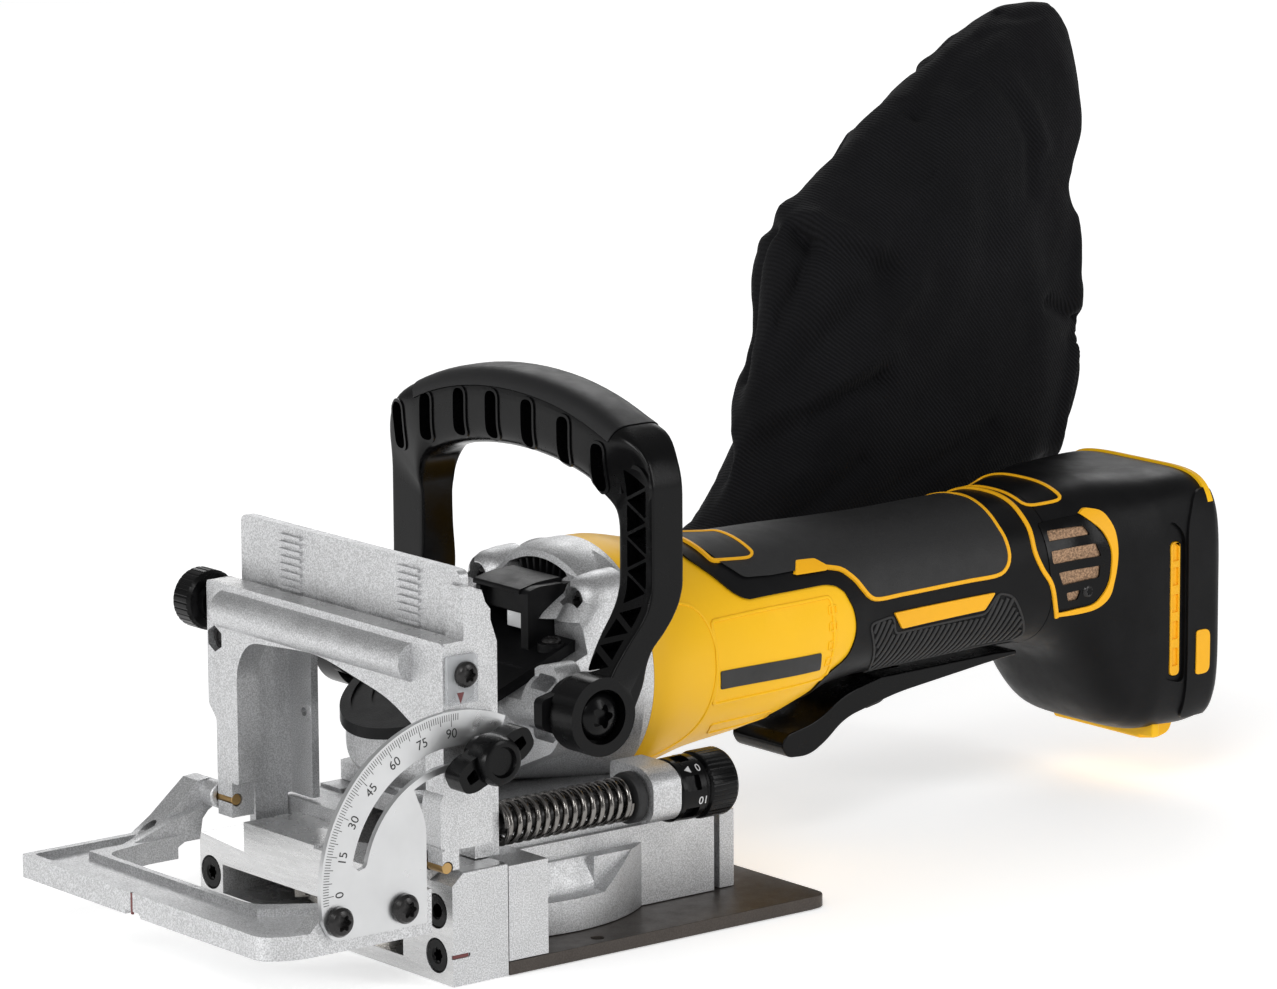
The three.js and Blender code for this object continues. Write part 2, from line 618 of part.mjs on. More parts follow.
function tilted(body, angle, y, z) {
  return body.translate([0, -y, -z]).rotate([angle, 0, 0]).translate([0, y, z]);
}

function makeBagCollar() {
  const ring = turned("y", DUST.x, 46.8, [
    [14.3, 99], [16.2, 99], [16.6, 100], [16.6, 103], [15.4, 104], [15.4, 110], [16.6, 111],
        [16.6, 113], [14.3, 113], [14.3, 99],
  ], 24);
  return tilted(ring, 29, 106, 46.8);
}

function makeDustBag() {
  const rings = [
    // height, centre along Y, half length, half thickness
    [62, 126, 13, 13], [73, 149, 35, 19], [87, 205, 68, 23], [102, 254.5, 85, 25], [131, 270.5, 85, 27],
    [170, 276, 82, 28], [199, 280, 78, 27], [211, 282, 75, 26], [230, 294, 62, 24],
        [249, 305.5, 48.5, 20],
    [265, 316, 33, 15], [273, 321, 24, 11], [279, 330, 10, 5],
  ];
  const across = 18;
  return loft(rings.map(([z, y, length, thick]) =>
    Array.from({ length: across }, (_, i) => {
      const angle = (i / across) * Math.PI * 2;
      return new THREE.Vector3(DUST.x + thick * Math.sin(angle), y + length * Math.cos(angle), z);
    }),
  ));
}

// ---- Carriage: gearcase, motor case, grip and battery foot ----
function gearcaseSkin(grow) {
  const rows = [
    [-27.5, 15, 9, 62], [-22, 23, 14, 62], [-8, 29, 18, 64], [4, 31, 21, 67], [18, 33, 27, 72],
        [34, 36, 34, 76.5],
    [56, 42, 41.5, MOTOR_Z],
  ];
  return loftAlongY(rows.map(([y, w, h, z]) => [y - (y < -20 ? grow : 0), w + grow, h + grow, z,
      2.6]), 20);
}

// The arms that carry the handle's two hubs out from the gearcase.
function hubArm(side) {
  const reach = WASHER_IN - GAP;
  const web = prism("y", [[side * 20, 52], [side * (reach - 8), 69], [side * reach, 74],
      [side * reach, 84], [side * 24, 86]], 10, 20);
  const [from, to] = side > 0 ? [20, reach] : [-reach, -20];
  return union(web, bar("x", HUB.y, HUB.z, from, to, 10, 16));
}

function makeGearcase() {
  const rear = CASE_FRONT - GAP;
  const flange = turned("y", 0, MOTOR_Z, [[0, 52], [41.5, 52], [42.5, 53], [42.5, rear], [0, rear]], 32);
  const neck = bar("z", 0, 0, 34, 52, 17.5, 24);
  const screwBosses = SCREW_BOSSES.map(([x, z]) => bar("y", x, z, 44, 54, 6.5, 14));
  const body = union(gearcaseSkin(0), flange, neck, hubArm(1), hubArm(-1), ...screwBosses);
  const room = union(
    bar("z", 0, 0, 33, 60, 14.6, 20),
    bar("z", 0, 0, 50, 73, 20.5, 20),
    bar("y", 0, MOTOR_Z, 9, 31, 10.5, 16),
    bar("y", 0, MOTOR_Z, 30, CASE_FRONT, 14.5, 20),
    bar("y", 0, MOTOR_Z, 56.5, CASE_FRONT, 34, 24),
  );
  const recesses = SCREW_BOSSES.map(([x, z]) => bar("y", x, z, 40, 50, 3.8, 12));
  const threads = [-1, 1].map((side) => bar("x", HUB.y, HUB.z, side > 0 ? 36 : -56,
      side > 0 ? 56 : -36, 2.9, 12));
  return cut(body, room, ...recesses, ...threads);
}

const SCREW_BOSSES = [[27, 108], [-27, 108]];

function makeCarriagePlate() {
  const [low, high] = [RAIL_TOP + GAP, 45];
  const plate = prism("z", [[-50, -6.5, 3], [-30, -6.5, 3], [-22, -22, 6], [22, -22, 6], [54, -8, 3],
      [54, 58, 3], [-50, 58, 3]], low, high, 2);
  const boss = prism("y", [
    [52, low], [72, low + 0.5, 2], [75.5, 43, 2], [75.5, 54, 3], [69, 58, 3], [52, 58, 2],
  ], BOSS_FRONT, BOSS_BACK, 2);
  const rodWay = bar("y", ROD_X, ROD_Z, BOSS_FRONT - 1, BOSS_BACK + 1, ROD_RADIUS + 0.4, 20);
  const flangeWay = bar("y", 0, MOTOR_Z, 51.7, 60, 42.9, 32);
  return cut(union(plate, boss), bar("z", 0, 0, 30, 50, 17.9, 24), rodWay, flangeWay, gearcaseSkin(GAP));
}

function makeDeflector() {
  const wedge = prism("x", [
    [-31, 66], [-31, 80], [-16, 86.5], [2, 92.5], [20, 104], [38, 116], [38, 106], [32, 92], [10, 76],
  ], -34, 34);
  const footprint = union(bar("z", 0, 0, 60, 120, 32.5, 40), box(-32.5, 32.5, 0, 34, 60, 120));
  const head = prism("x", [[6, 92], [6, 108, 2], [14, 114, 2], [30, 115, 2], [30, 100]], -16, 24);
  const window = box(-10, 10, 0, 20, 98.5, 105);
  const arms = union(box(-60, 60, 9.6, 20.4, 40, 92.8), bar("x", HUB.y, HUB.z, -60, 60, 10.4, 16));
  return cut(union(wedge.intersect(footprint), head), gearcaseSkin(0.4), arms, window);
}

function makeMotorCase() {
  return turned("y", 0, MOTOR_Z, [
    [33, CASE_FRONT], [42.4, CASE_FRONT], [42.4, 66], [39.8, 80], [36.8, 95], [35, 115],
    [34, CASE_BACK - 4], [32.5, CASE_BACK], [10.3, CASE_BACK],
    [10.3, 138], [13, 138], [13, CASE_BACK - 5], [31.5, CASE_BACK - 7], [33, 90],
    [33, CASE_FRONT],
  ], 28);
}

function makeCaseCover() {
  const shell = (grow) => turned("y", 0, MOTOR_Z, [
    [0, CASE_FRONT + 3], [42.4 + grow, CASE_FRONT + 3], [42.4 + grow, 66], [39.8 + grow, 80],
    [36.8 + grow, 95], [35 + grow, 115], [34 + grow, CASE_BACK - 4], [0, CASE_BACK - 4],
  ], 36);
  const wedge = prism("y", [[0, MOTOR_Z], [34, MOTOR_Z + 30], [34, 140], [-34, 140],
      [-34, MOTOR_Z + 30]], 40, 170);
  return cut(shell(2.2).intersect(wedge), shell(GAP));
}

const GRIP_ROWS = [
  [CASE_BACK + GAP, 30.5, 28, 85.8, 2.3], [172, 29.5, 27.6, 86, 2.4], [200, 29, 27.3, 86.2, 2.4],
      [228, 29.5, 27.3, 86.6, 2.4],
  [GRIP_BACK, 31.5, 28.3, 87, 2.4],
];

function gripSkin(grow, ends = 0) {
  const last = GRIP_ROWS.length - 1;
  return loftAlongY(GRIP_ROWS.map(([y, w, h, z, square], i) =>
    [y + (i === 0 ? -ends : 0) + (i === last ? ends : 0), w + grow, h + grow, z, square]), 24);
}

function makeGripShell(side) {
  const half = side > 0 ? box(0.15, 60, 100, 300, 0, 160) : box(-60, -0.15, 100, 300, 0, 160);
  const paddleWay = union(
    box(-PADDLE_HALF - 0.6, PADDLE_HALF + 0.6, 150, 262, 40, 60.3),
    box(-6, 6, 180, 204, 40, 68),
  );
  return cut(gripSkin(0).intersect(half), gripSkin(-3, 2), paddleWay);
}

const FOOT_ROWS = [
  [GRIP_BACK + GAP, 31.5, 28.3, 87, 2.4], [262, 33, 32, 86, 2.7], [270, 35, 36, 82.5, 3],
      [280, 37, 43.2, 75.5, 3.4],
  [289, 39, 47, 71.5, 4], [299, FOOT_HALF, 48, 70, 4.8], [314, FOOT_HALF, 48, 70, 5.5],
      [FOOT_BACK - 4, FOOT_HALF, 47, 70, 5.5],
  [FOOT_BACK, 38.5, 45, 70, 5],
];

function makeFoot() {
  const skin = loftAlongY(FOOT_ROWS, 28);
  const bay = box(-31, 31, 302, FOOT_BACK + 1, 15, 104);
  const wiring = bar("y", 0, 87, GRIP_BACK - 1, 310, 18, 20);
  const slots = [-1, 1].map((side) => prism("z", [
    [side * 41, 307], [side * 38.4, 307], [side * 38.4, 311.5], [side * 41, 311.5],
  ], 43, 96));
  return cut(skin, bay, wiring, ...slots);
}

function makeFootTrim() {
  return prism("y", [
    [-38, 113], [-30, 119.6, 3], [30, 119.6, 3], [38, 113], [36.4, 112], [29, 118.2], [-29, 118.2],
        [-36.4, 112],
  ], 313, FOOT_BACK - 1).subtract(loftAlongY(FOOT_ROWS.map(([y, w, h, z, q]) => [y, w + GAP, h + GAP,
      z, q]), 28));
}

function makeRailLiner() {
  const back = box(-30.6, 30.6, 302.4, 306, 20, 103.5);
  const rails = [-1, 1].map((side) => box(side > 0 ? 26.6 : -30.6, side > 0 ? 30.6 : -26.6, 305, 323,
      27, 103.5));
  const lip = prism("x", [[302.4, 18.5, 1.5], [302.4, 27], [322, 27], [318, 18.5, 2], [312, 17, 2]],
      -23, 23);
  return cut(union(back, ...rails, lip), box(-17, 17, 301, 307, 70, 98));
}

function makeTerminalBlock() {
  const block = box(-16.6, 16.6, 303, 312, 71, 97);
  const blades = [-10, -3.5, 3.5, 10].map((x) => box(x - 0.5, x + 0.5, 311, 320, 76, 92));
  return union(block, ...blades);
}

function makeVentCover(side) {
  const grown = (grow) => loftAlongY(FOOT_ROWS.map(([y, w, h, z, q]) => [y, w + grow, h + grow, z,
      q]), 28);
  const window = prism("x", [[252.7, 107], [262, 109], [277, 102], [281, 88], [277, 75, 3],
      [252.7, 71, 2]],
    side > 0 ? 20 : -60, side > 0 ? 60 : -20);
  return cut(grown(1.2).intersect(window), grown(GAP));
}

function makeHandleWasher(side) {
  const [a, b] = [WASHER_IN, WASHER_OUT];
  const [near, far] = side > 0 ? [a, b] : [-b, -a];
  const ring = turned("x", HUB.y, HUB.z, [[3.2, near], [12.6, near], [13, near + 0.5], [13, far],
      [3.2, far], [3.2, near]], 18);
  const ear = prism("x", [[HUB.y - 17, HUB.z - 3, 2], [HUB.y - 8, HUB.z - 8], [HUB.y - 8, HUB.z + 8],
      [HUB.y - 17, HUB.z + 3, 2]],
    near, far);
  return cut(union(ring, ear), bar("x", HUB.y, HUB.z, near - 1, far + 1, 3.2, 16));
}

function makeHandleScrew(side) {
  const profile = [[0, 38], [2.6, 38], [2.6, 67.3], [8.3, 67.3], [8.3, 70], [6.5, 72.3], [2.6, 72.8],
      [2.2, 70.5], [0, 70.5]];
  return turned("x", HUB.y, HUB.z, profile.map(([r, a]) => [r, side * a]), 20);
}

// ---- Handle ----
function makeHandle() {
  const inside = HANDLE_HALF - LEG_THICK;
  const arch = new THREE.Shape();
  arch.moveTo(HANDLE_HALF, 104);
  arch.lineTo(HANDLE_HALF, 150);
  arch.quadraticCurveTo(HANDLE_HALF, 165, 59, 171.5);
  arch.quadraticCurveTo(33, ARCH_CREST - 0.5, 0, ARCH_CREST - 0.5);
  arch.quadraticCurveTo(-33, ARCH_CREST - 0.5, -59, 171.5);
  arch.quadraticCurveTo(-HANDLE_HALF, 165, -HANDLE_HALF, 150);
  arch.lineTo(-HANDLE_HALF, 104);
  arch.lineTo(-inside, 104);
  arch.lineTo(-inside, 136);
  arch.quadraticCurveTo(-inside, 146, -45, 149.5);
  arch.quadraticCurveTo(-25, 156.5, 0, 156.5);
  arch.quadraticCurveTo(25, 156.5, 45, 149.5);
  arch.quadraticCurveTo(inside, 146, inside, 136);
  arch.lineTo(inside, 104);
  const bow = prism("y", arch, LEG_FRONT, LEG_BACK, 5);
  const bulk = new THREE.Shape();
  bulk.moveTo(66, 160);
  bulk.quadraticCurveTo(33, 181, 0, 181);
  bulk.quadraticCurveTo(-33, 181, -66, 160);
  bulk.lineTo(-52, 150);
  bulk.quadraticCurveTo(-25, 158.5, 0, 158.5);
  bulk.quadraticCurveTo(25, 158.5, 52, 150);
  const fist = prism("y", bulk, LEG_FRONT - 4, LEG_BACK + 4, 5);
  const slots = [-54, -40, -25, -9, 8, 24, 40].map((x) => box(x - 2.6, x + 2.6, LEG_FRONT - 5,
      LEG_FRONT + 6, 157, 174));
  const leg = (side) => {
    const [inner, outer] = [side > 0 ? inside : -HANDLE_HALF, side > 0 ? HANDLE_HALF : -inside];
    const shank = prism("x", [
      [LEG_BACK, 105], [LEG_FRONT, 105], [LEG_FRONT - 2, 101, 3], [HUB.y + 4, 90, 6],
          [HUB.y - 8, HUB.z + 8], [HUB.y, HUB.z],
      [HUB.y + 12, HUB.z], [HUB.y + 16.5, 88, 6], [HUB.y + 24, 97, 4], [LEG_BACK - 3, 101, 4],
    ], inner, outer);
    const keep = prism("y", [
      [side * 60, 60], [side * HANDLE_HALF, 60], [side * HANDLE_HALF, 110], [side * inside, 110],
          [side * inside, 98],
      [side * 60, 94],
    ], -20, 60);
    const eye = bar("x", HUB.y, HUB.z, side > 0 ? 60 : -HANDLE_HALF, side > 0 ? HANDLE_HALF : -60,
        HUB.r, 28);
    return union(shank.intersect(keep), eye);
  };
  const pockets = [-1, 1].flatMap((side) => [116, 125.5, 135].map((z) => {
    const up = z === 125.5 ? -1 : 1;
    return prism("y", [[side * 60, z - 4 * up], [side * 69, z - 4 * up], [side * 64.5, z + 4 * up]],
        LEG_FRONT - 1, LEG_FRONT + 4);
  }));
  const recess = [-1, 1].map((side) => bar("x", HUB.y, HUB.z, side > 0 ? 67 : -74,
      side > 0 ? 74 : -67, 8.8, 32));
  const bores = [-1, 1].map((side) => bar("x", HUB.y, HUB.z, side > 0 ? 58 : -74, side > 0 ? 74 : -58,
      2.9, 16));
  return cut(union(bow, fist, leg(1), leg(-1)), ...slots, ...pockets, ...recess, ...bores,
      handleGripShape(0.35));
}

// The soft pad laid over the top of the handle's arch.
function handleGripShape(grow) {
  const band = new THREE.Shape();
  band.moveTo(57, 172.6);
  band.quadraticCurveTo(33, ARCH_CREST + 0.2, 0, ARCH_CREST + 0.2);
  band.quadraticCurveTo(-33, ARCH_CREST + 0.2, -57, 172.6);
  band.lineTo(-55.5, 168.6 - grow);
  band.quadraticCurveTo(-33, ARCH_CREST - 4.6 - grow, 0, ARCH_CREST - 4.6 - grow);
  band.quadraticCurveTo(33, ARCH_CREST - 4.6 - grow, 55.5, 168.6 - grow);
  return prism("y", band, LEG_FRONT - 4.2 - grow, LEG_BACK + 4.2 + grow, 5);
}

// ---- Trigger ----
function makePaddle() {
  const lever = prism("x", [
    [133, 35, 4], [141, 31, 4], [153, 30, 4], [168, 34, 6], [186, 46, 6], [238, 54, 4],
        [250.5, 56, 1], [250.5, 57.6, 1],
    [240, 57.9], [186, 56.8], [168, 49, 6], [157, 42, 6], [135, 41, 3],
  ], -PADDLE_HALF, PADDLE_HALF);
  return cut(lever, box(-5.4, 5.4, 182, 201, 30, 70));
}

function makeLockOff() {
  return prism("x", [[186, 43.5, 1.5], [194, 45, 2], [198.8, 49, 1], [198.8, 57.4], [186, 57.4]], -5, 5);
}

// ---- Drive train ----
const SHAFT_R = 4;

function makeRotor() {
  return union(
    bar("y", 0, MOTOR_Z, 20, 148, SHAFT_R, 16),
    bar("y", 0, MOTOR_Z, 90, 122, 15.5, 28),
  );
}

function makeFan() {
  const plate = turned("y", 0, MOTOR_Z, [
    [SHAFT_R + GAP, 68], [9, 68], [9, 73], [27, 78], [27, 79.2], [9, 80], [SHAFT_R + GAP, 80],
        [SHAFT_R + GAP, 68],
  ], 24);
  const vanes = Array.from({ length: 7 }, (_, i) => {
    const blade = box(8, 26.5, -0.7, 0.7, 0, 6).rotate([90, 0, 0]);
    return blade.translate([0, 78.5, 0]).rotate([0, (i * 360) / 7, 0]).translate([0, 0, MOTOR_Z]);
  });
  return union(plate, ...vanes);
}

// A bevel gear: toothed rings of [radius, height] skinned together, standing on Z.
function bevel(rows, teeth, depth, bore) {
  const body = loft(rows.map(([radius, z]) =>
    Array.from({ length: teeth * 2 }, (_, i) => {
      const angle = (i / (teeth * 2)) * Math.PI * 2;
      const r = radius - (i % 2) * depth;
      return new THREE.Vector3(r * Math.cos(angle), r * Math.sin(angle), z);
    }),
  ));
  return cut(body, bar("z", 0, 0, rows[0][1] - 1, rows[rows.length - 1][1] + 1, bore, 20));
}

function makeBevelPinion() {
  const gear = bevel([[6.6, 0], [8.6, 7.5], [8.6, 13.5]], 11, 1.4, SHAFT_R + GAP);
  return gear.rotate([-90, 0, 0]).translate([0, 12.5, MOTOR_Z]);
}

function makeSpindle() {
  return bar("z", 0, 0, BLADE_Z + 7.3, 71, 6, 20);
}

function makeBevelGear() {
  return bevel([[18.5, 55], [19.2, 62.5], [14.5, 70]], 37, 1.2, 6.3);
}

function makeBlade() {
  const tips = 6;
  const disc = turned("z", 0, 0, [
    [0, BLADE_Z - 1.2], [BLADE_RADIUS - 3, BLADE_Z - 1.2], [BLADE_RADIUS - 3, BLADE_Z + 1.2],
        [0, BLADE_Z + 1.2],
  ], 36);
  const teeth = Array.from({ length: tips }, (_, i) =>
    box(BLADE_RADIUS - 10, BLADE_RADIUS, -3, 3, BLADE_Z - 2,
        BLADE_Z + 2).rotate([0, 0, (i * 360) / tips]));
  const gullets = Array.from({ length: tips }, (_, i) =>
    bar("z", BLADE_RADIUS - 6, 6.5, BLADE_Z - 3, BLADE_Z + 3, 3.6, 8).rotate([0, 0, (i * 360) / tips]));
  return cut(union(disc, ...teeth), ...gullets);
}

function makeBladeFlange() {
  return turned("z", 0, 0, [[6.3, 12.6], [6.3, 17], [12, 17], [14.5, 15], [14.5, BLADE_Z + 1.5],
      [0, BLADE_Z + 1.5], [0, 12.3],
    [6.3, 12.3], [6.3, 12.6]], 20);
}

function makeBladeNut() {
  return cut(turned("z", 0, 0, [[0, 5.4], [11, 5.4], [13, 6.2], [13, BLADE_Z - 1.5],
      [0, BLADE_Z - 1.5]], 20),
    bar("z", 7.5, 0, 4, 7, 1.6, 12), bar("z", -7.5, 0, 4, 7, 1.6, 12));
}

function ringOf(axis, u, v, inner, outer, from, to) {
  return turned(axis, u, v, [[inner, from], [outer, from], [outer, to], [inner, to], [inner, from]], 20);
}

const nodes = [
  ["shoe_plate", DARK_STEEL, makeShoe],
  ["face_block", CAST, makeFaceBlock],
  ["base_casting", CAST, makeBaseCasting],
  ["upright_bracket", CAST, makeUpright],
  ...Object.entries(PINS).map(([name, at]) => [name, RUBBER, () => makePin(at)]),
  ["depth_stop_rod", STEEL, makeDepthRod],
  ["plunge_spring", STEEL, makePlungeSpring],
  ["dust_port", BLACK, makeDustPort],
  ["bag_collar", BLACK, makeBagCollar],
  ["dust_bag", FABRIC, makeDustBag],
  ["slide_frame", CAST, makeSlideFrame],
  ["angle_pointer", CLEAR, makePointer],
  ["pointer_screw", BLACK, makePointerScrew],
  ["tilt_stud", STEEL, makeTiltStud],
  ["hinge_pin_left", BRASS, () => bar("x", PIVOT_Y, PIVOT_Z, 60.5, FRAME_LEFT - 1.3, 2, 16)],
  ["hinge_pin_right", BRASS, () => bar("x", PIVOT_Y, PIVOT_Z, BASE_RIGHT + 0.5, -41.5, 2, 16)],
  ["pinion_shaft", STEEL, makePinionShaft],
  ["height_knob", BLACK, makeHeightKnob],
  ["fence_flap", CAST, makeFlap],
  ["protractor_plate", CAST, makeProtractor],
  ...["front", "rear"].map((end, i) => ["scale_screw_" + end, BLACK,
      () => makeScaleScrew(SCALE_SCREWS[i])]),
  ["tilt_lock_knob", BLACK, makeTiltKnob],
  ["carriage_plate", CAST, makeCarriagePlate],
  ["gearcase", CAST, makeGearcase],
  ["chip_deflector", BLACK, makeDeflector],
  ["motor_case", YELLOW, makeMotorCase],
  ["case_cover", RUBBER, makeCaseCover],
  ["grip_shell_left", RUBBER, () => makeGripShell(1)],
  ["grip_shell_right", RUBBER, () => makeGripShell(-1)],
  ["battery_foot", BLACK, makeFoot],
  ["foot_trim", YELLOW, makeFootTrim],
  ["battery_rail_liner", YELLOW, makeRailLiner],
  ["terminal_block", BLACK, makeTerminalBlock],
  ["vent_cover_left", BLACK, () => makeVentCover(1)],
  ["vent_cover_right", BLACK, () => makeVentCover(-1)],
  ["handle_washer_left", BLACK, () => makeHandleWasher(1)],
  ["handle_washer_right", BLACK, () => makeHandleWasher(-1)],
  ["handle_screw_left", BLACK, () => makeHandleScrew(1)],
  ["handle_screw_right", BLACK, () => makeHandleScrew(-1)],
  ["spring_bumper", RUBBER, makeBumper],
  ["stator", STEEL, () => ringOf("y", 0, MOTOR_Z, 16.2, 31.3, 90.5, 126)],
  ["front_bearing", STEEL, () => ringOf("y", 0, MOTOR_Z, SHAFT_R + GAP, 14.2, 34, 44)],
  ["rear_bearing", STEEL, () => ringOf("y", 0, MOTOR_Z, SHAFT_R + GAP, 10, 138, 146)],
  ["spindle_bearing", STEEL, () => ringOf("z", 0, 0, 6.3, 14.3, 34, 44)],
  ["handle_frame", BLACK, makeHandle],
  ["handle_pad", RUBBER, () => handleGripShape(0)],
  ["paddle_switch", BLACK, makePaddle],
  ["lock_off_lever", BLACK, makeLockOff],
  ["depth_turret", BLACK, makeTurret],
  ["rotor", STEEL, makeRotor],
  ["cooling_fan", BLACK, makeFan],
  ["bevel_pinion", STEEL, makeBevelPinion],
  ["spindle", STEEL, makeSpindle],
  ["bevel_gear", STEEL, makeBevelGear],
  ["blade", STEEL, makeBlade],
  ["blade_flange", STEEL, makeBladeFlange],
  ["blade_nut", STEEL, makeBladeNut],
];
for (const [name, look, make] of nodes) part(name, look, make());

export default joiner;
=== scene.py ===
"""Biscuit joiner: camera, light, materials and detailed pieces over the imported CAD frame.
Lengths in the modelling code are millimetres; make() turns them into metres."""
import json
import math
from contextlib import contextmanager
import bmesh
import bpy
from mathutils import Matrix, Vector, noise


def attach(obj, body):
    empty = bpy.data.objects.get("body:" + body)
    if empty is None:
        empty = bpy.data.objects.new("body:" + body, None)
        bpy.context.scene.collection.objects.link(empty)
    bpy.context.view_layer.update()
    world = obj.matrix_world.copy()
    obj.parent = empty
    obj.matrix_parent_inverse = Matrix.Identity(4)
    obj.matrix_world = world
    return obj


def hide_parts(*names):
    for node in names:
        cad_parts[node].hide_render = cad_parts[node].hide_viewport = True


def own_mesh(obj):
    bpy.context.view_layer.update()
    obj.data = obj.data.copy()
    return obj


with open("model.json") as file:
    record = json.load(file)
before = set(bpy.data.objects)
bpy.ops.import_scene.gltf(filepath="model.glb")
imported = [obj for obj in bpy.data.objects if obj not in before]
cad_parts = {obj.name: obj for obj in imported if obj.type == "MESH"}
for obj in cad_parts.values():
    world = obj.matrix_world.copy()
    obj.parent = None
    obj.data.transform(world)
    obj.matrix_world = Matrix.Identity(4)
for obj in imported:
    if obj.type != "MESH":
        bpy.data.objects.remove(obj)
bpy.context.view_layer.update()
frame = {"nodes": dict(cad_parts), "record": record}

MM = 0.001
NODES = frame["nodes"]
BODY_OF = {n: b for b, ns in frame["record"]["behaviour"]["bodies"].items() for n in ns}
rad = math.radians


def placed(data, name):
    """A new object in the scene."""
    ob = bpy.data.objects.new(name, data)
    bpy.context.scene.collection.objects.link(ob)
    return ob


# ---------------------------------------------------------------- camera, light, floor
def make_camera():
    az, el, roll = rad(51.6), rad(11.2), rad(-0.35)
    back = Vector((math.sin(az) * math.cos(el), -math.cos(az) * math.cos(el), math.sin(el)))
    right = Vector((math.cos(az), math.sin(az), 0))
    up = back.cross(right)
    r = right * math.cos(roll) + up * math.sin(roll)
    u = up * math.cos(roll) - right * math.sin(roll)
    cam = bpy.data.cameras.new("camera")
    cam.lens = 173.63
    cam.sensor_width = 36
    cam.clip_start, cam.clip_end = 0.1, 60
    ob = placed(cam, "camera")
    m = Matrix((r, u, back)).transposed().to_4x4()
    m.translation = Vector((1.636, -1.2095, 0.5471))
    ob.matrix_world = m
    bpy.context.scene.camera = ob


def area_light(name, place, aim, size, power):
    data = bpy.data.lights.new(name, "AREA")
    data.shape = "RECTANGLE"
    data.size, data.size_y = size
    data.energy = power
    ob = placed(data, name)
    ob.location = place
    ob.rotation_mode = "QUATERNION"
    ob.rotation_quaternion = (Vector(aim) - Vector(place)).to_track_quat("-Z", "Y")


def make_studio():
    world = bpy.data.worlds.new("studio")
    bpy.context.scene.world = world
    world.use_nodes = True
    world.node_tree.nodes["Background"].inputs[0].default_value = (1, 1, 1, 1)
    world.node_tree.nodes["Background"].inputs[1].default_value = 0.30
    area_light("key", (1.5, -1.6, 1.7), (0, 0.05, 0.05), (1.0, 1.0), 25)
    area_light("side", (2.2, 1.3, 1.0), (0, 0.1, 0.08), (0.6, 1.5), 15)
    area_light("front", (-0.2, -2.4, 0.8), (0, -0.05, 0.06), (1.1, 0.8), 25)
    area_light("rear", (-1.8, 1.6, 1.6), (0, 0.1, 0.1), (1.5, 1.5), 16)
    bpy.context.scene.view_settings.view_transform = "Standard"
    me = bpy.data.meshes.new("floor")
    me.from_pydata([(-14, -14, 0), (14, -14, 0), (14, 14, 0), (-14, 14, 0)], [], [(0, 1, 2, 3)])
    floor = placed(me, "floor")
    floor.location.z = -0.0004
    m = bpy.data.materials.new("paper")
    m.use_nodes = True
    b = m.node_tree.nodes["Principled BSDF"]
    b.inputs["Base Color"].default_value = (0.93, 0.93, 0.93, 1)
    b.inputs["Roughness"].default_value = 0.9
    b.inputs["Emission Color"].default_value = (1, 1, 1, 1)
    b.inputs["Emission Strength"].default_value = 0.46
    me.materials.append(m)


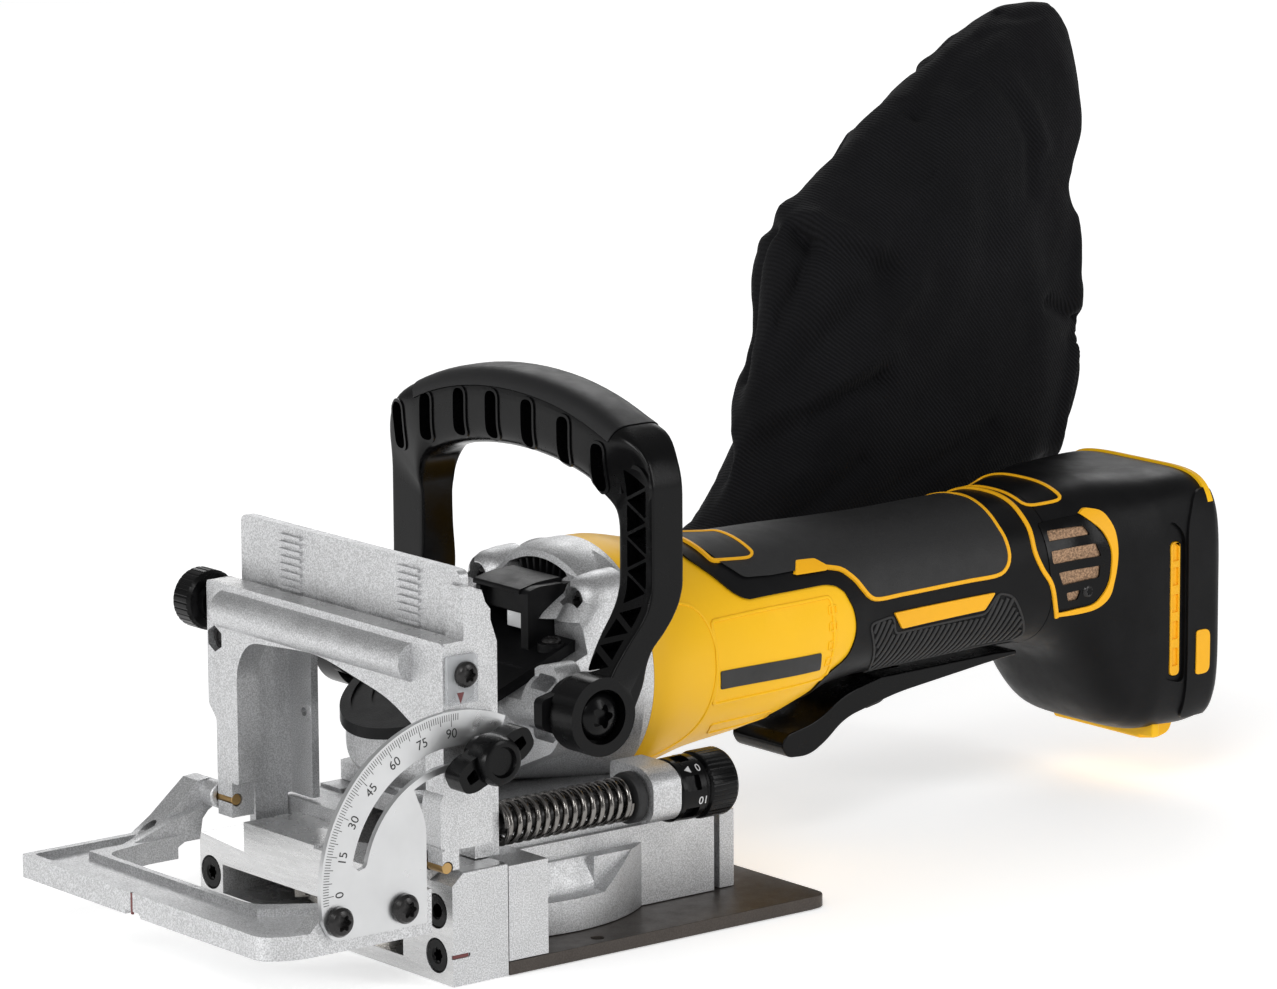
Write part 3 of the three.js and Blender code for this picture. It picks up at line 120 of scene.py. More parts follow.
# ---------------------------------------------------------------- materials
def surface(name, color, rough, metal=0.0, grain=None, mottle=0.12, mottle_scale=60,
            spread=0.06, bump=0.2, lumps=None, weave=None, sheen=0.0, brush=None,
            speckle=0.0, alpha=1.0, shine=0.5):
    """A procedural finish. mottle: how far the colour drifts; spread: how far the roughness drifts;
    grain and lumps: fine and coarse bump, in features per metre; speckle: pale and dark grains;
    weave: twill ribs per metre; brush: stretch of the grain per axis; shine: strength of reflections."""
    m = bpy.data.materials.new(name)
    m.use_nodes = True
    nt = m.node_tree
    b = nt.nodes["Principled BSDF"]
    b.inputs["Metallic"].default_value = metal
    b.inputs["Sheen Weight"].default_value = sheen
    b.inputs["Sheen Roughness"].default_value = 0.5
    b.inputs["Alpha"].default_value = alpha
    b.inputs["Specular IOR Level"].default_value = shine
    m.diffuse_color = (*color, alpha)

    def node(kind, **values):
        n = nt.nodes.new("ShaderNode" + kind)
        for key, value in values.items():
            if hasattr(n, key):
                setattr(n, key, value)
            else:
                n.inputs[key.replace("_", " ")].default_value = value
        return n

    coord = node("TexCoord").outputs["Object"]
    where = coord
    if brush:
        stretch = node("Mapping")
        stretch.inputs["Scale"].default_value = brush
        nt.links.new(coord, stretch.inputs["Vector"])
        where = stretch.outputs["Vector"]

    def field(scale, detail=3.0, source=None):
        n = node("TexNoise", Scale=scale, Detail=detail, Roughness=0.6)
        nt.links.new(source or where, n.inputs["Vector"])
        return n.outputs["Fac"]

    def remap(value, low, high, a=0.3, b=0.7):
        n = node("MapRange")
        n.inputs["From Min"].default_value, n.inputs["From Max"].default_value = a, b
        n.inputs["To Min"].default_value, n.inputs["To Max"].default_value = low, high
        nt.links.new(value, n.inputs["Value"])
        return n.outputs["Result"]

    def blend(factor, first, second, kind="MIX"):
        n = node("Mix", data_type="RGBA", blend_type=kind)
        if isinstance(factor, float):
            n.inputs[0].default_value = factor
        else:
            nt.links.new(factor, n.inputs[0])
        for socket, value in ((n.inputs[6], first), (n.inputs[7], second)):
            if isinstance(value, tuple):
                socket.default_value = (*value, 1)
            else:
                nt.links.new(value, socket)
        return n.outputs[2]

    dark = tuple(c * (1 - mottle) for c in color)
    pale = tuple(min(1, c * (1 + mottle)) for c in color)
    paint = blend(remap(field(mottle_scale), 0, 1), dark, pale)
    if speckle:
        grains = field(grain or 1600, 2.0)
        low = tuple(c * (1 - speckle) for c in color)
        high = tuple(min(1, c * (1 + speckle)) for c in color)
        fleck = blend(remap(grains, 0, 1, 0.38, 0.62), low, high)
        paint = blend(0.6, paint, fleck)
    if weave:
        turn = node("Mapping")
        turn.inputs["Rotation"].default_value = (rad(-38), 0, 0)
        nt.links.new(coord, turn.inputs["Vector"])
        ribs = node("TexWave", bands_direction="Y", Scale=weave, Distortion=1.2, Detail=1.0)
        ribs.inputs["Detail Scale"].default_value = 3.0
        nt.links.new(turn.outputs["Vector"], ribs.inputs["Vector"])
        paint = blend(ribs.outputs["Fac"], tuple(c * 0.55 for c in color), paint)
    nt.links.new(paint, b.inputs["Base Color"])
    nt.links.new(remap(field(mottle_scale * 2.3), rough - spread, rough + spread),
                 b.inputs["Roughness"])
    normal = None
    for scale, strength, depth in ((lumps, bump, 0.0006), (grain, bump, 0.00022)):
        if not scale:
            continue
        n = node("Bump")
        n.inputs["Strength"].default_value = strength
        n.inputs["Distance"].default_value = depth
        nt.links.new(field(scale, 2.0), n.inputs["Height"])
        if normal:
            nt.links.new(normal, n.inputs["Normal"])
        normal = n.outputs["Normal"]
    if weave:
        n = node("Bump")
        n.inputs["Strength"].default_value = 0.55
        n.inputs["Distance"].default_value = 0.0004
        nt.links.new(ribs.outputs["Fac"], n.inputs["Height"])
        nt.links.new(normal, n.inputs["Normal"])
        normal = n.outputs["Normal"]
    if normal:
        nt.links.new(normal, b.inputs["Normal"])
    return m


LOOK = {
    "cast": surface("cast_aluminium", (0.56, 0.563, 0.57), 0.44, 0.88, grain=2100, bump=0.6,
                    speckle=0.40, mottle=0.08, spread=0.09),
    "machined": surface("machined_aluminium", (0.62, 0.62, 0.62), 0.28, 0.95, grain=1300, bump=0.16,
                        brush=(1, 1, 9), mottle=0.08),
    "satin": surface("satin_plate", (0.60, 0.605, 0.61), 0.33, 0.9, grain=2600, bump=0.10,
                     mottle=0.04),
    "steel": surface("bright_steel", (0.42, 0.40, 0.37), 0.22, 1.0, grain=900, bump=0.08,
                     mottle=0.15, mottle_scale=180),
    "spring": surface("spring_wire", (0.21, 0.20, 0.19), 0.20, 1.0, grain=900, bump=0.06, mottle=0.15,
                      mottle_scale=180),
    "dark_steel": surface("black_steel", (0.026, 0.025, 0.025), 0.26, 0.5, grain=1200, bump=0.12,
                          shine=0.35),
    "shoe": surface("anodised_shoe", (0.070, 0.060, 0.053), 0.44, 0.7, grain=1700, bump=0.2,
                    speckle=0.25, mottle=0.12),
    "yellow": surface("yellow_plastic", (1.0, 0.55, 0.012), 0.38, grain=2400, bump=0.14,
                      mottle=0.02, mottle_scale=25, lumps=140, shine=0.2),
    "yellow_ink": surface("yellow_trim", (0.93, 0.455, 0.008), 0.42, grain=2200, bump=0.12,
                          mottle=0.03, shine=0.28),
    "black": surface("black_plastic", (0.0055, 0.0055, 0.006), 0.38, grain=2300, bump=0.28,
                     mottle=0.25, shine=0.12),
    "gloss": surface("moulded_black", (0.0016, 0.0016, 0.0018), 0.24, grain=1300, bump=0.08,
                     mottle=0.2, lumps=120, shine=0.16),
    "rubber": surface("black_rubber", (0.0165, 0.0165, 0.017), 0.56, grain=2600, bump=0.45,
                      mottle=0.16, speckle=0.3, shine=0.4),
    "soft": surface("handle_overmould", (0.0085, 0.0085, 0.009), 0.45, grain=2600, bump=0.35, mottle=0.16,
                    speckle=0.2, shine=0.3),
    "fabric": surface("bag_twill", (0.0092, 0.0092, 0.0104), 0.8, grain=2600, bump=0.4, weave=250,
                      mottle=0.3, mottle_scale=22, sheen=0.02, lumps=90, shine=0.05),
    "brass": surface("brass", (0.42, 0.27, 0.11), 0.30, 1.0, grain=900, bump=0.1),
    "mesh": surface("bronze_mesh", (0.30, 0.185, 0.11), 0.42, 0.6, grain=1500, bump=0.9,
                    speckle=0.7, mottle=0.3, mottle_scale=900),
    "clear": surface("clear_plastic", (0.50, 0.515, 0.53), 0.12, grain=500, bump=0.05, alpha=0.42),
    "red": surface("red_paint", (0.13, 0.025, 0.025), 0.45, grain=1500, bump=0.1),
    "ink": surface("dark_ink", (0.010, 0.010, 0.010), 0.5, grain=1800, bump=0.1),
    "white": surface("white_ink", (0.60, 0.60, 0.60), 0.5, grain=1800, bump=0.1),
    "copper": surface("windings", (0.42, 0.17, 0.07), 0.4, 0.8, grain=900, bump=0.5),
}
SIDES = ((1, "left"), (-1, "right"))


# ---------------------------------------------------------------- mesh tools
@contextmanager
def editing(mesh):
    """The mesh as a bmesh, written back at the end."""
    bm = bmesh.new()
    bm.from_mesh(mesh)
    yield bm
    bm.to_mesh(mesh)
    bm.free()


def make(verts, faces):
    """A solid from points in millimetres, its faces turned outwards."""
    me = bpy.data.meshes.new("solid")
    me.from_pydata([(x * MM, y * MM, z * MM) for x, y, z in verts], [], faces)
    with editing(me) as bm:
        bmesh.ops.recalc_face_normals(bm, faces=bm.faces)
    return placed(me, "solid")


def rounded(points, steps=6):
    """An outline whose corners are rounded by the radius in a point's third place."""
    out = []
    n = len(points)
    for i, p in enumerate(points):
        here = Vector(p[:2])
        a = Vector(points[i - 1][:2]) - here
        b = Vector(points[(i + 1) % n][:2]) - here
        far = min(p[2] if len(p) > 2 else 0, a.length * 0.49, b.length * 0.49)
        if far <= 0:
            out.append(here)
            continue
        s, e = here + a.normalized() * far, here + b.normalized() * far
        out += [s * (1 - t) ** 2 + here * 2 * t * (1 - t) + e * t * t
                for t in (k / steps for k in range(steps + 1))]
    return out


def put(axis, u, v, a):
    """The point at a along the axis and at (u, v) across it."""
    return {"x": (a, u, v), "y": (u, a, v), "z": (u, v, a)}[axis]


def prism(axis, points, a, b, steps=6):
    """An outline extruded along an axis: x takes (y, z) points, y takes (x, z), z takes (x, y)."""
    ring = rounded(points, steps)
    n = len(ring)
    verts = [put(axis, p.x, p.y, a) for p in ring] + [put(axis, p.x, p.y, b) for p in ring]
    faces = [tuple(range(n)), tuple(range(2 * n - 1, n - 1, -1))]
    faces += [(i, (i + 1) % n, n + (i + 1) % n, n + i) for i in range(n)]
    return make(verts, faces)


def oblong(u0, u1, v0, v1, r):
    """A rectangle's outline with rounded corners."""
    return [(u0, v0, r), (u1, v0, r), (u1, v1, r), (u0, v1, r)]


def box(x0, x1, y0, y1, z0, z1):
    """A block between two places on each axis."""
    return prism("z", [(x0, y0), (x1, y0), (x1, y1), (x0, y1)], z0, z1)


def reach_to(side, near, far):
    """The two ends of a span across X, on the side +1 or -1, lower one first."""
    return sorted((side * near, side * far))


def polar(centre, r, degrees):
    """The point at a distance and an angle from a centre."""
    return centre[0] + r * math.cos(rad(degrees)), centre[1] + r * math.sin(rad(degrees))


def circle(u, v, r, n=40):
    """A ring of n points round (u, v)."""
    return [(u + r * math.cos(i / n * math.tau), v + r * math.sin(i / n * math.tau)) for i in range(n)]


def bar(axis, u, v, a, b, r, n=40):
    """A round bar along an axis."""
    return prism(axis, circle(u, v, r, n), a, b)


def turned(axis, u, v, profile, n=64):
    """A turned solid from (radius, distance along the axis) points: from axis to axis, or a closed loop."""
    closed = profile[0] == profile[-1]
    points = profile[:-1] if closed else profile
    verts, rows = [], []
    for r, a in points:
        if r < 1e-6:
            rows.append([len(verts)])
            verts.append(put(axis, u, v, a))
        else:
            rows.append(list(range(len(verts), len(verts) + n)))
            verts += [put(axis, p[0], p[1], a) for p in circle(u, v, r, n)]
    faces = []
    pairs = list(zip(rows, rows[1:])) + ([(rows[-1], rows[0])] if closed else [])
    for p, q in pairs:
        for i in range(n):
            j = (i + 1) % n
            if len(p) == 1 and len(q) == 1:
                break
            if len(p) == 1:
                faces.append((p[0], q[j], q[i]))
            elif len(q) == 1:
                faces.append((p[i], p[j], q[0]))
            else:
                faces.append((p[i], p[j], q[j], q[i]))
    return make(verts, faces)


def loft(rings, caps=True):
    """A skin through rings of points, all with the same count."""
    n = len(rings[0])
    verts = [p for ring in rings for p in ring]
    faces = [(r * n + i, r * n + (i + 1) % n, (r + 1) * n + (i + 1) % n, (r + 1) * n + i)
             for r in range(len(rings) - 1) for i in range(n)]
    if caps:
        faces += [tuple(range(n - 1, -1, -1)), tuple(range(len(verts) - n, len(verts)))]
    return make(verts, faces)


def spline(rows, t):
    """The rows' values at t (their first column), on a smooth curve through them that never overshoots."""
    if t <= rows[0][0]:
        return list(rows[0][1:])
    if t >= rows[-1][0]:
        return list(rows[-1][1:])
    i = max(k for k in range(len(rows) - 1) if rows[k][0] <= t)
    (t0, *a), (t1, *b) = rows[i], rows[i + 1]
    before, after = rows[max(i - 1, 0)], rows[min(i + 2, len(rows) - 1)]
    s = (t - t0) / (t1 - t0)
    out = []
    for k in range(len(a)):
        d = (b[k] - a[k]) / (t1 - t0)

        def slope(row, value, side):
            if row[0] == side:
                return d
            e = (value - row[k + 1]) / (side - row[0])
            return 0.0 if d * e <= 0 else 2 * d * e / (d + e)

        m0, m1 = slope(before, a[k], t0), slope(after, b[k], t1)
        h = t1 - t0
        out.append((2 * s**3 - 3 * s**2 + 1) * a[k] + (s**3 - 2 * s**2 + s) * h * m0
                   + (3 * s**2 - 2 * s**3) * b[k] + (s**3 - s**2) * h * m1)
    return out


def squared(n, count):
    """Points round a unit circle that grows squarer as n grows."""
    def power(c):
        return math.copysign(abs(c) ** (2 / n), c)
    return [(power(math.cos(a)), power(math.sin(a))) for a in (i / count * math.tau for i in range(count))]


def skinned(rows, grow=0.0, step=3.0, start=None, end=None, count=72):
    """A solid skinned over rows of (y, half width, half height, centre z, squareness)."""
    first = rows[0][0] if start is None else start
    last = rows[-1][0] if end is None else end
    steps = max(2, int((last - first) / step))
    rings = []
    for i in range(steps + 1):
        y = first + (last - first) * i / steps
        w, h, z, n = spline(rows, y)
        rings.append([((w + grow) * c, y, z + (h + grow) * d) for c, d in squared(n, count)])
    return loft(rings)


def boolean(ob, kind, tools):
    """Joins or cuts with solids, which are used up."""
    for t in tools:
        m = ob.modifiers.new("cut", "BOOLEAN")
        m.operation, m.solver, m.object = kind, "MANIFOLD", t
    return bake(ob, tools)


def bake(ob, tools=()):
    """Applies the modifiers and removes the solids they used."""
    dg = bpy.context.evaluated_depsgraph_get()
    dg.update()
    me = bpy.data.meshes.new_from_object(ob.evaluated_get(dg))
    ob.modifiers.clear()
    ob.data = me
    for t in tools:
        bpy.data.objects.remove(t)
    return ob


def cut(ob, *tools):
    return boolean(ob, "DIFFERENCE", tools)


def union(ob, *others):
    return boolean(ob, "UNION", others)


def within(ob, *tools):
    return boolean(ob, "INTERSECT", tools)


def hull(*balls):
    """One convex skin round balls given as (x, y, z, radius)."""
    bm = bmesh.new()
    for x, y, z, r in balls:
        for i in range(9):
            lat = (i / 8 - 0.5) * math.pi
            for k in range(20):
                a = k / 20 * math.tau
                bm.verts.new(((x + r * math.cos(lat) * math.cos(a)) * MM,
                              (y + r * math.cos(lat) * math.sin(a)) * MM, (z + r * math.sin(lat)) * MM))
    bmesh.ops.remove_doubles(bm, verts=bm.verts[:], dist=1e-6)
    made = bmesh.ops.convex_hull(bm, input=bm.verts[:])
    spare = {v for v in made["geom_interior"] + made["geom_unused"] if isinstance(v, bmesh.types.BMVert)}
    bmesh.ops.delete(bm, geom=list(spare), context="VERTS")
    bmesh.ops.recalc_face_normals(bm, faces=bm.faces[:])
    mesh = bpy.data.meshes.new("hull")
    bm.to_mesh(mesh)
    bm.free()
    return placed(mesh, "hull")


def merge(*obs):
    """Several solids as one object, without a boolean."""
    bm = bmesh.new()
    for o in obs:
        bm.from_mesh(o.data)
    me = bpy.data.meshes.new("merged")
    bm.to_mesh(me)
    bm.free()
    obs[0].data = me
    for o in obs[1:]:
        bpy.data.objects.remove(o)
    return obs[0]


def stood(ob, place, angle, axis):
    """Turns a solid about the origin, then moves it to a place (mm)."""
    ob.data.transform(Matrix.Translation([c * MM for c in place]) @ Matrix.Rotation(angle, 4, axis))
    return ob


def spun(ob, centre, angle, axis):
    """Turns a solid about an axis through a centre (mm)."""
    c = Vector(centre) * MM
    ob.data.transform(Matrix.Translation(c) @ Matrix.Rotation(angle, 4, axis) @ Matrix.Translation(-c))
    return ob


def finish(ob, name, look, body, nodes=(), bevel=0.35, angle=32, sharp=40, segments=2, flat=True):
    """Cleans the mesh, rounds its edges, shades it, gives it a look and sets it on its body."""
    with editing(ob.data) as bm:
        bmesh.ops.remove_doubles(bm, verts=bm.verts, dist=2e-6)
        bmesh.ops.dissolve_degenerate(bm, edges=bm.edges, dist=2e-6)
        if flat:
            bmesh.ops.dissolve_limit(bm, angle_limit=rad(0.4), verts=bm.verts, edges=bm.edges)
        bmesh.ops.recalc_face_normals(bm, faces=bm.faces)
    if bevel:
        m = ob.modifiers.new("edges", "BEVEL")
        m.width = bevel * MM
        m.segments = segments
        m.limit_method = "ANGLE"
        m.angle_limit = rad(angle)
        m.use_clamp_overlap = True
        bake(ob)
    ob.data.shade_smooth()
    ob.data.set_sharp_from_angle(angle=rad(sharp))
    w = ob.modifiers.new("normals", "WEIGHTED_NORMAL")
    w.keep_sharp = True
    ob.name = ob.data.name = name
    ob.data.materials.clear()
    ob.data.materials.append(LOOK[look])
    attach(ob, body)
    if nodes:
        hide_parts(*nodes)
    return ob


LINE = {"bevel": 0, "sharp": 60, "flat": False}  # how raised lines are finished


def remake(ob, node, look, **edges):
    """A finer piece that stands for one CAD node."""
    return finish(ob, node + "_fine", look, BODY_OF[node], (node,), **edges)


def on_carriage(ob, name, look, **edges):
    """A detail that no CAD node has, on the carriage."""
    return finish(ob, name, look, "carriage_body", **edges)


def polish(node, look, bevel=0.35):
    """A CAD node's own shape with rounded edges."""
    me = NODES[node].data.copy()
    me.materials.clear()
    return remake(placed(me, node), node, look, bevel=bevel, angle=34, sharp=42)


def also(ob, look, test):
    """Gives a second look to the faces whose centre (mm) and normal pass the test."""
    ob.data.materials.append(LOOK[look])
    index = len(ob.data.materials) - 1
    for f in ob.data.polygons:
        if test(f.center / MM, f.normal):
            f.material_index = index


def star(axis, u, v, a, b, r, lobes=6, depth=0.17):
    """The recess of a star-drive screw."""
    ring = []
    for i in range(48):
        t = i / 48 * math.tau
        k = r * (1 + depth * math.cos(lobes * t))
        ring.append((u + k * math.cos(t), v + k * math.sin(t)))
    return prism(axis, ring, a, b)


def strip_ring(place, before, after, up, width, height, crown, shoulder, sink):
    """The section of a low strip lying on a surface, between the places before and after it."""
    side = (after - before).normalized().cross(up).normalized()
    w, mid = width / 2, height * shoulder
    shape = [(-w, -sink), (-w, mid), (-w * crown, height), (w * crown, height), (w, mid), (w, -sink)]
    return [tuple(place + side * s + up * q) for s, q in shape]


def letters(text, size, matrix):
    """Raised digits in the plane of a matrix in millimetres."""
    curve = bpy.data.curves.new("digits", "FONT")
    curve.body = text
    curve.size = size
    curve.extrude = 0.06
    curve.align_x, curve.align_y = "CENTER", "CENTER"
    ob = placed(curve, "digits")
    dg = bpy.context.evaluated_depsgraph_get()
    me = bpy.data.meshes.new_from_object(ob.evaluated_get(dg))
    bpy.data.objects.remove(ob)
    me.transform(matrix)
    me.transform(Matrix.Scale(MM, 4))
    return placed(me, "digits")


def basis(right, up, place):
    """The matrix of a sheet at a place, from its right and up directions."""
    r, u = Vector(right).normalized(), Vector(up).normalized()
    m = Matrix((r, u, r.cross(u))).transposed().to_4x4()
    m.translation = Vector(place)
    return m


# ---------------------------------------------------------------- base, depth stop
ROD = (65, 47.5)
PINS = {"anti_slip_pin_upper": (70.5, 24), "anti_slip_pin_lower": (70.5, 9),
        "anti_slip_pin_far": (-59, 11)}


def make_base():
    polish("shoe_plate", "shoe", bevel=0.45)
    block = polish("face_block", "cast", bevel=0.5)
    also(block, "machined", lambda c, n: n.y < -0.9 or n.z > 0.9)
    polish("base_casting", "cast", bevel=0.7)
    polish("upright_bracket", "cast", bevel=0.55)
    for name, (x, z) in PINS.items():
        pin = turned("y", x, z, [(0, -50.3), (5.6, -50.3), (5.6, -53.4), (5.2, -53.8), (2.9, -53.8),
                                 (2.5, -53.3), (0, -53.3)])
        finish(cut(pin, star("y", x, z, -54.5, -51.4, 2.1)), name + "_fine", "gloss", "base", (name,),
               bevel=0.15)
    finish(box(79.0, 79.3, -53.9, -47.6, 9.4, 10.6), "side_index_line", "red", "base", bevel=0.1)
    rod = turned("y", *ROD, [(0, -26.7), (3.6, -26.7), (4, -26.2), (4, 45.4), (3.6, 46), (0, 46)])
    finish(rod, "depth_rod_fine", "dark_steel", "base", ("depth_stop_rod",), bevel=0)
    make_spring()
    bumper = turned("y", *ROD, [(4.6, 28.4), (8.3, 28.4), (8.8, 29.1), (8.8, 31.9), (8.3, 32.6),
                                (4.6, 32.6), (4.6, 28.4)])
    remake(bumper, "spring_bumper", "rubber", bevel=0.3)
    for node in ("dust_port", "bag_collar"):
        polish(node, "black", bevel=0.5)


def make_spring():
    """The plunge spring: closed end turns, open ones between."""
    turns, r, wire, a, b = 15, 6.65, 1.08, -26.2, 27.9
    rings = []
    steps = turns * 22
    for i in range(steps + 1):
        t = i / steps
        lead = min(max((t * turns - 1) / (turns - 2), 0), 1)
        y = a + wire + lead * (b - a - 4 * wire) + min(t * turns, 1) * wire
        y += max(t * turns - turns + 1, 0) * wire
        angle = t * turns * math.tau
        out = Vector((math.cos(angle), 0, math.sin(angle)))
        centre = Vector((ROD[0], y, ROD[1])) + out * r
        rings.append([tuple(centre + (out * math.cos(q) + Vector((0, 1, 0)) * math.sin(q)) * wire)
                      for q in (k / 10 * math.tau for k in range(10))])
    spring = remake(loft(rings), "plunge_spring", "spring", bevel=0, sharp=70, flat=False)
    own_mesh(spring)


def make_turret():
    x, z = ROD
    body = turned("y", x, z, [(4.7, 45.4), (10.4, 45.4), (10.9, 46), (11.1, 55.8), (10.4, 56.6),
                              (10.4, 57.5), (11.4, 58.1), (11.7, 59), (11.7, 68), (10.9, 69.4),
                              (9.6, 70), (6, 70), (5.4, 69.3), (0, 69.3), (0, 67.1), (4.7, 67.1),
                              (4.7, 45.4)], 96)
    tools = [bar("y", u, v, 58.4, 68.6, 0.55, 8) for u, v in circle(x, z, 12.0, 40)]
    for k in range(6):
        a = rad(20 + 60 * k)
        u, v = x + 10.9 * math.cos(a), z + 10.9 * math.sin(a)
        tools.append(stood(box(-2.6, 2.6, 47.6, 53.4, -1.6, 3), (u, 0, v), -a + rad(90), "Y"))
    remake(cut(body, *tools), "depth_turret", "gloss", bevel=0.2)
    for k, word in enumerate(("0", "20", "10") * 2):
        a = rad(46 + 60 * k)
        out = Vector((math.cos(a), 0, math.sin(a)))
        side = Vector((-out.z, 0, out.x))
        place = Vector((x, 54.2, z)) + out * 11.06
        digits = letters(word, 4.0, basis(side, (0, 1, 0), place))
        finish(spun(digits, place, rad(90), out), "turret_digit_%d" % k, "white", "turret_body",
               bevel=0, flat=False)
    mark = prism("x", [(50.6, -1.3), (50.6, 1.3), (48.4, 0)], 0, 0.25)
    a = rad(46)
    place = Vector((x + 11 * math.cos(a), 0, z + 11 * math.sin(a)))
    stood(mark, place, -a, "Y")
    finish(mark, "turret_arrow", "white", "turret_body", bevel=0, flat=False)


# ---------------------------------------------------------------- height slide, fence
STUD = (-45.686, 77.356)
POINTER = (-49.5, 104.5)
KNOB = (-51.6, 106)
SOCKET = (-49.6, 95)
HINGE = (-55, 40)
ZERO_ANGLE = 180.5  # where the scale's 0 lies, in degrees round the hinge
SCALE_SCREWS = {"scale_screw_front": (-101.5, 31), "scale_screw_rear": (-75.5, 31)}


def screw(u, v, side, seat, r, height, name, body, nodes=(), axis="x"):
    """A pan-head star screw whose head stands on seat and faces side (+1 or -1) along the axis."""
    s = side
    head = turned(axis, u, v, [(0, seat - 3 * s), (r * 0.4, seat - 3 * s), (r * 0.4, seat), (r, seat),
                               (r, seat + height * 0.45 * s), (r * 0.82, seat + height * 0.86 * s),
                               (r * 0.55, seat + height * s), (0, seat + height * s)])
    a, b = sorted((seat + height * 0.25 * s, seat + (height + 1) * s))
    return finish(cut(head, star(axis, u, v, a, b, r * 0.5)), name, "dark_steel", body, nodes, bevel=0.12)


def make_slide():
    frame_node = polish("slide_frame", "cast", bevel=0.6)
    also(frame_node, "machined", lambda c, n: c.z > 114.6 and n.z > 0.9)
    for node in ("hinge_pin_left", "hinge_pin_right"):
        polish(node, "brass", bevel=0.3)
    polish("tilt_stud", "steel")
    # A dark steel hex disc with a round dimple at the bottom of the gate's hex recess: partly a screw head,
    # partly painted shade standing in for the dark void of the recess.
    socket = prism("y", circle(*SOCKET, 4.45, 6), -54.6, -53.8)
    finish(cut(socket, bar("y", *SOCKET, -55, -54.1, 2.6, 24)), "gate_socket_screw_and_shade", "dark_steel",
           "height_slide_body", bevel=0.15)
    polish("pinion_shaft", "steel", bevel=0.15)
    plate = prism("x", oblong(-56.3, -44, 94.7, 110.8, 1.2), 79.95, 81.5)
    remake(cut(plate, bar("x", *POINTER, 79, 83, 2.0)), "angle_pointer", "clear", bevel=0.25)
    arrow = prism("x", [(-52.6, 98.6), (-49.8, 98.6), (-51.2, 95.0)], 81.45, 81.6)
    finish(arrow, "pointer_mark", "red", "height_slide_body", bevel=0)
    screw(*POINTER, 1, 81.7, 4.3, 2.6, "pointer_screw_fine", "height_slide_body", ("pointer_screw",))
    x0 = -55.2
    profile = [(3.3, 0), (6.2, 0), (6.4, 2.4), (9.4, 2.8), (10.4, 4), (10.4, 11.6), (9.4, 12.6), (6, 12.8),
               (5.4, 12), (0, 12), (0, 8.4), (3.3, 8.4), (3.3, 0)]
    knob = turned("x", *KNOB, [(r, x0 - a) for r, a in profile], 96)
    knurls = [bar("x", u, v, x0 - 14, x0 - 3.4, 0.6, 8) for u, v in circle(*KNOB, 10.75, 30)]
    remake(cut(knob, *knurls), "height_knob", "gloss", bevel=0.18)
    make_lock_knob()


def make_lock_knob():
    y, z = STUD
    wings, slots = [], []
    for s in (1, -1):
        ring = [(2.5, -5.4), (10, -6.2, 2), (15.4, -4.6, 2.4), (15.8, 2.2, 2.4), (11.6, 4.4, 2), (6, 4.9, 3),
                (2.5, 6.5)]
        wing = prism("x", [(u * s, v * s, *r) for u, v, *r in ring], 85.4, 93.2, 8)
        hole = [(u * s, v * s, 0.7) for u, v in ((8.6, -3), (12.6, -2.4), (12.6, 0.9), (8.6, 1.2))]
        wings.append(stood(wing, (0, y, z), rad(28), "X"))
        slots.append(stood(prism("x", hole, 88.6, 95), (0, y, z), rad(28), "X"))
    core = turned("x", y, z, [(2.9, 82.9), (5.9, 82.9), (6.4, 83.4), (6.6, 86), (8.2, 88), (8.2, 94.6),
                              (7.3, 96.6), (6.4, 97), (5.2, 96.9), (4.5, 95.4), (0, 95.2), (0, 84.5),
                              (2.9, 84.5), (2.9, 82.9)])
    body = union(core, *wings)
    body = cut(body, bar("x", y, z, 82, 84.6, 2.9), *slots)
    remake(body, "tilt_lock_knob", "gloss", bevel=0.7, segments=3)


def make_fence():
    flap = polish("fence_flap", "cast", bevel=0.6)
    also(flap, "machined", lambda c, n: n.z < -0.9)
    finish(box(-0.5, 0.5, -126.02, -125.3, 20.6, 27.8), "front_index_line", "red", "fence_body", bevel=0.05)
    boss = turned("x", *HINGE, [(2.4, -57.2), (4.6, -57.2), (4.6, -50.2), (4.1, -49.8), (2.4, -49.8),
                                 (2.4, -57.2)], 48)
    finish(boss, "far_hinge_boss", "cast", "fence_body", bevel=0.3)
    make_protractor()
    for name, (y, z) in SCALE_SCREWS.items():
        screw(y, z, 1, 82.4, 4.9, 3.0, name + "_fine", "fence_body", (name,))


